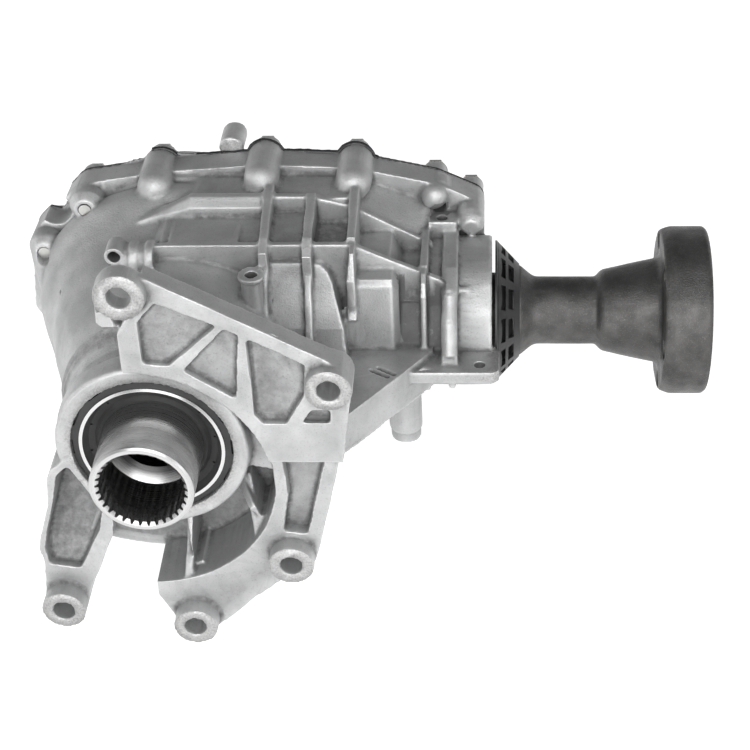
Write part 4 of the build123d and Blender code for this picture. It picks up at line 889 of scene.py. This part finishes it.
# %% [markdown]
# Sealant squeezes out where the cover is bolted down. To find where, rays are shot inwards from all round,
# just short of the end of the housing, and each hit is moved in a little. A list of points typed in would do
# as well, but these follow the housing if it changes. Most sealant comes out along the top.

# %% The edge of the joint
bead_steps = 720
joint_middle = (0.045, 0.0)
ray_start, ray_depth, bead_inset = 0.4, 0.0008, 0.0010
top_z, top_left, top_right = 0.06, -0.02, 0.125
full_swell, thin_swell = 1.0, 0.4


def joint_edge(y):
    """Points just inside the housing's edge at the depth y, all the way round."""
    mesh = nodes["main_housing"].data
    tree = BVHTree.FromPolygons([v.co for v in mesh.vertices], [p.vertices for p in mesh.polygons])
    centre = Vector((joint_middle[0], y, joint_middle[1]))
    points = []
    for step in range(bead_steps):
        angle = 2 * math.pi * step / bead_steps
        way = Vector((math.cos(angle), 0, math.sin(angle)))
        hit = tree.ray_cast(centre + way * ray_start, -way)[0]
        points.append(hit - way * bead_inset)
    return points


def on_top(point):
    """True along the top of the joint."""
    return point.z > top_z and top_left < point.x < top_right


edge_points = joint_edge(housing_end - ray_depth)
bead_places = [(point.x, cover_start, point.z) for point in edge_points]
bead_mesh = bpy.data.meshes.new("bead")
bead_mesh.from_pydata(bead_places, [(i, (i + 1) % bead_steps) for i in range(bead_steps)], [])
set_mask(bead_mesh, "swell", [full_swell if on_top(point) else thin_swell for point in edge_points])
bead = linked("sealant_bead", bead_mesh)
print("joint edge points:", len(edge_points))

# %% [markdown]
# The bead itself follows a path, so Geometry Nodes make it: a circle is swept along the edge, and noise lets
# its thickness wander. Its sizes are inputs with names, so a reader can change the bead without knowing the
# tree.

# %% A tree for beads
bead_tree = bpy.data.node_groups.new("sealant_bead", "GeometryNodeTree")
bead_inputs = {}
for label, kind, value in (
    ("Geometry", "NodeSocketGeometry", None),
    ("Bead Radius", "NodeSocketFloat", 0.0019),
    ("Unevenness", "NodeSocketFloat", 1.1),
    ("Lumps per Metre", "NodeSocketFloat", 130.0),
    ("Seed", "NodeSocketFloat", 4.0),
    ("Material", "NodeSocketMaterial", None),
):
    socket = bead_tree.interface.new_socket(name=label, in_out="INPUT", socket_type=kind)
    if value is not None:
        socket.default_value = value
    bead_inputs[label] = socket.identifier
bead_tree.interface.new_socket(name="Geometry", in_out="OUTPUT", socket_type="NodeSocketGeometry")
given = bead_tree.nodes.new("NodeGroupInput")
finished = bead_tree.nodes.new("NodeGroupOutput")
print("bead inputs:", list(bead_inputs))

# %% [markdown]
# The thickness at each point is the bead's radius, times a lump from the noise, times the swell that the
# points carry. The noise has a fourth number, its seed, so the same bead comes out each time.

# %% The bead's thickness
place = bead_tree.nodes.new("GeometryNodeInputPosition")
lumps = bead_tree.nodes.new("ShaderNodeTexNoise")
lumps.noise_dimensions = "4D"
lumps.inputs["Detail"].default_value = 3.0
bead_tree.links.new(place.outputs["Position"], lumps.inputs["Vector"])
bead_tree.links.new(given.outputs["Lumps per Metre"], lumps.inputs["Scale"])
bead_tree.links.new(given.outputs["Seed"], lumps.inputs["W"])
swell = bead_tree.nodes.new("GeometryNodeInputNamedAttribute")
swell.data_type = "FLOAT"
swell.inputs["Name"].default_value = "swell"
lift = math_node(bead_tree, "SUBTRACT", lumps.outputs["Fac"], 0.5)
lift = math_node(bead_tree, "MULTIPLY", lift, given.outputs["Unevenness"])
lift = math_node(bead_tree, "ADD", lift, 1.0)
thickness = math_node(bead_tree, "MULTIPLY", lift, given.outputs["Bead Radius"])
thickness = math_node(bead_tree, "MULTIPLY", thickness, swell.outputs["Attribute"])
print("nodes so far:", len(bead_tree.nodes))

# %% [markdown]
# The sweep takes the edge as a curve and a circle of radius 1 as its profile, scaled by the thickness. The
# result is worked into a plain mesh, since every later step reads the mesh and not the modifier.

# %% The bead
bead_path = bead_tree.nodes.new("GeometryNodeMeshToCurve")
bead_tree.links.new(given.outputs["Geometry"], bead_path.inputs["Mesh"])
ring = bead_tree.nodes.new("GeometryNodeCurvePrimitiveCircle")
ring.inputs["Resolution"].default_value = 9
ring.inputs["Radius"].default_value = 1.0
sweep = bead_tree.nodes.new("GeometryNodeCurveToMesh")
bead_tree.links.new(bead_path.outputs["Curve"], sweep.inputs["Curve"])
bead_tree.links.new(ring.outputs["Curve"], sweep.inputs["Profile Curve"])
bead_tree.links.new(thickness, sweep.inputs["Scale"])
real = bead_tree.nodes.new("GeometryNodeRealizeInstances")
paint = bead_tree.nodes.new("GeometryNodeSetMaterial")
bead_tree.links.new(sweep.outputs["Mesh"], real.inputs["Geometry"])
bead_tree.links.new(real.outputs["Geometry"], paint.inputs["Geometry"])
bead_tree.links.new(given.outputs["Material"], paint.inputs["Material"])
bead_tree.links.new(paint.outputs["Geometry"], finished.inputs["Geometry"])

sweeping = bead.modifiers.new("bead", "NODES")
sweeping.node_group = bead_tree
sweeping[bead_inputs["Material"]] = finishes["black_sealant"]
applied(bead)
bead.data.shade_smooth()
dress(bead, "black_sealant", "case")
print("bead triangles:", triangle_count(bead.data))

# %% [markdown]
# Behind its windows the dust deflector is closed by a thin cone, so no light shows through the cage. It is
# turned from an outline of four corners, as on a lathe, with both its walls, so the shell is closed.

# %% Deflector cone
cone_steps = 96
cone_outline = [(200.8, 39.0), (210.8, 27.4), (210.8, 26.6), (200.8, 38.2)]


def turned(name, outline):
    """Object turned about the output axis from an outline of x and radius, in millimetres."""
    shape = bmesh.new()
    turns = [2 * math.pi * step / cone_steps for step in range(cone_steps)]
    loops = []
    for x, radius in outline:
        corners = [(x, output_y * 1000 + radius * math.cos(turn), radius * math.sin(turn)) for turn in turns]
        loops.append([shape.verts.new([c / 1000 for c in corner]) for corner in corners])
    for first, second in zip(loops, loops[1:] + loops[:1]):
        for i in range(cone_steps):
            j = (i + 1) % cone_steps
            shape.faces.new((first[i], first[j], second[j], second[i]))
    bmesh.ops.recalc_face_normals(shape, faces=shape.faces)
    mesh = bpy.data.meshes.new(name)
    shape.to_mesh(mesh)
    shape.free()
    return linked(name, mesh)


cone = turned("deflector_cone", cone_outline)
dress(cone, "black_plastic", "output_line")
print("cone faces:", len(cone.data.polygons))

# %% [markdown]
# The set is a product photographer's: a floor that runs out of the picture. The floor is a pale grey, and it
# glows only for rays from the camera and for rays that are mirrored or let through. So it looks white, keeps
# a soft shadow of the object and throws no extra light on it. More lamps would also whiten it, but they would
# bleach the aluminium.

# %% Floor
floor_reach, floor_gap = 8, 0.0005
floor_glow = 0.8
floor_z = cad_low.z - floor_gap
floor_corners = [(floor_reach * x, floor_reach * y, floor_z) for x, y in ((-1, -1), (1, -1), (1, 1), (-1, 1))]
floor_mesh = bpy.data.meshes.new("floor")
floor_mesh.from_pydata(floor_corners, [], [(0, 1, 2, 3)])
floor = linked("floor", floor_mesh)
tree, shader = new_finish("pale_floor", 0.0)
shader.inputs["Base Color"].default_value = (0.6, 0.6, 0.6, 1)
shader.inputs["Roughness"].default_value = 0.9
shader.inputs["Specular IOR Level"].default_value = 0.0
shader.inputs["Emission Color"].default_value = (1, 1, 1, 1)
rays = tree.nodes.new("ShaderNodeLightPath")
seen = math_node(tree, "ADD", rays.outputs["Is Camera Ray"], rays.outputs["Is Glossy Ray"])
seen = math_node(tree, "ADD", seen, rays.outputs["Is Transmission Ray"], clamp=True)
tree.links.new(math_node(tree, "MULTIPLY", seen, floor_glow), shader.inputs["Emission Strength"])
floor_mesh.materials.append(finishes["pale_floor"])
print("floor at", round(floor_z * 1000, 1), "mm")

# %% [markdown]
# Four broad lamps light the case. The strongest hangs above and behind the camera and lights the decks and
# the plate, a weaker one stands low in front, and one at each side draws the edges of the ribs. Broad lamps
# give soft shadows, as a photographer's boxes of cloth do.

# %% Lamps
lamp_target = Vector((0.1, 0.1, 0.0))


def lamp(name, place, size, power):
    """Large soft lamp aimed at the middle of the case."""
    data = bpy.data.lights.new(name, "AREA")
    data.shape = "RECTANGLE"
    data.size, data.size_y = size
    data.energy = power
    piece = linked(name, data)
    piece.location = place
    piece.rotation_euler = (lamp_target - Vector(place)).to_track_quat("-Z", "Y").to_euler()


lamp("front lamp", (-0.3, -1.9, 0.45), (1.6, 0.9), 9)
lamp("high lamp", (0.2, -1.5, 1.15), (2.0, 1.3), 27)
lamp("right lamp", (1.9, -0.7, 0.5), (0.8, 0.9), 6)
lamp("left lamp", (-1.8, 0.1, 0.6), (0.6, 0.9), 5)

# %% [markdown]
# Metal shows what stands round it, so the surround matters as much as the lamps. It is white near the horizon
# and dims towards the ceiling and the back, which gives flat metal its range of tones. An evenly white
# surround would make every face the same grey.

# %% The surround
surround_light = 0.75
world = bpy.data.worlds.new("surround")
bpy.context.scene.world = world
world.use_nodes = True
sky = world.node_tree
place = sky.nodes.new("ShaderNodeTexCoord")
apart = sky.nodes.new("ShaderNodeSeparateXYZ")
sky.links.new(place.outputs["Generated"], apart.inputs[0])
horizon = spread(sky, apart.outputs["Z"], 0.15, 0.55, 1.0, 0.16)
viewer_side = spread(sky, apart.outputs["Y"], -0.9, 0.4, 0.55, 0.0)
brightness = math_node(sky, "MINIMUM", math_node(sky, "ADD", horizon, viewer_side), 1.0)
background = sky.nodes["Background"]
background.inputs["Color"].default_value = (1, 1, 1, 1)
sky.links.new(math_node(sky, "MULTIPLY", brightness, surround_light), background.inputs["Strength"])
bpy.context.scene.view_settings.view_transform = "Standard"
print("surround nodes:", len(sky.nodes))
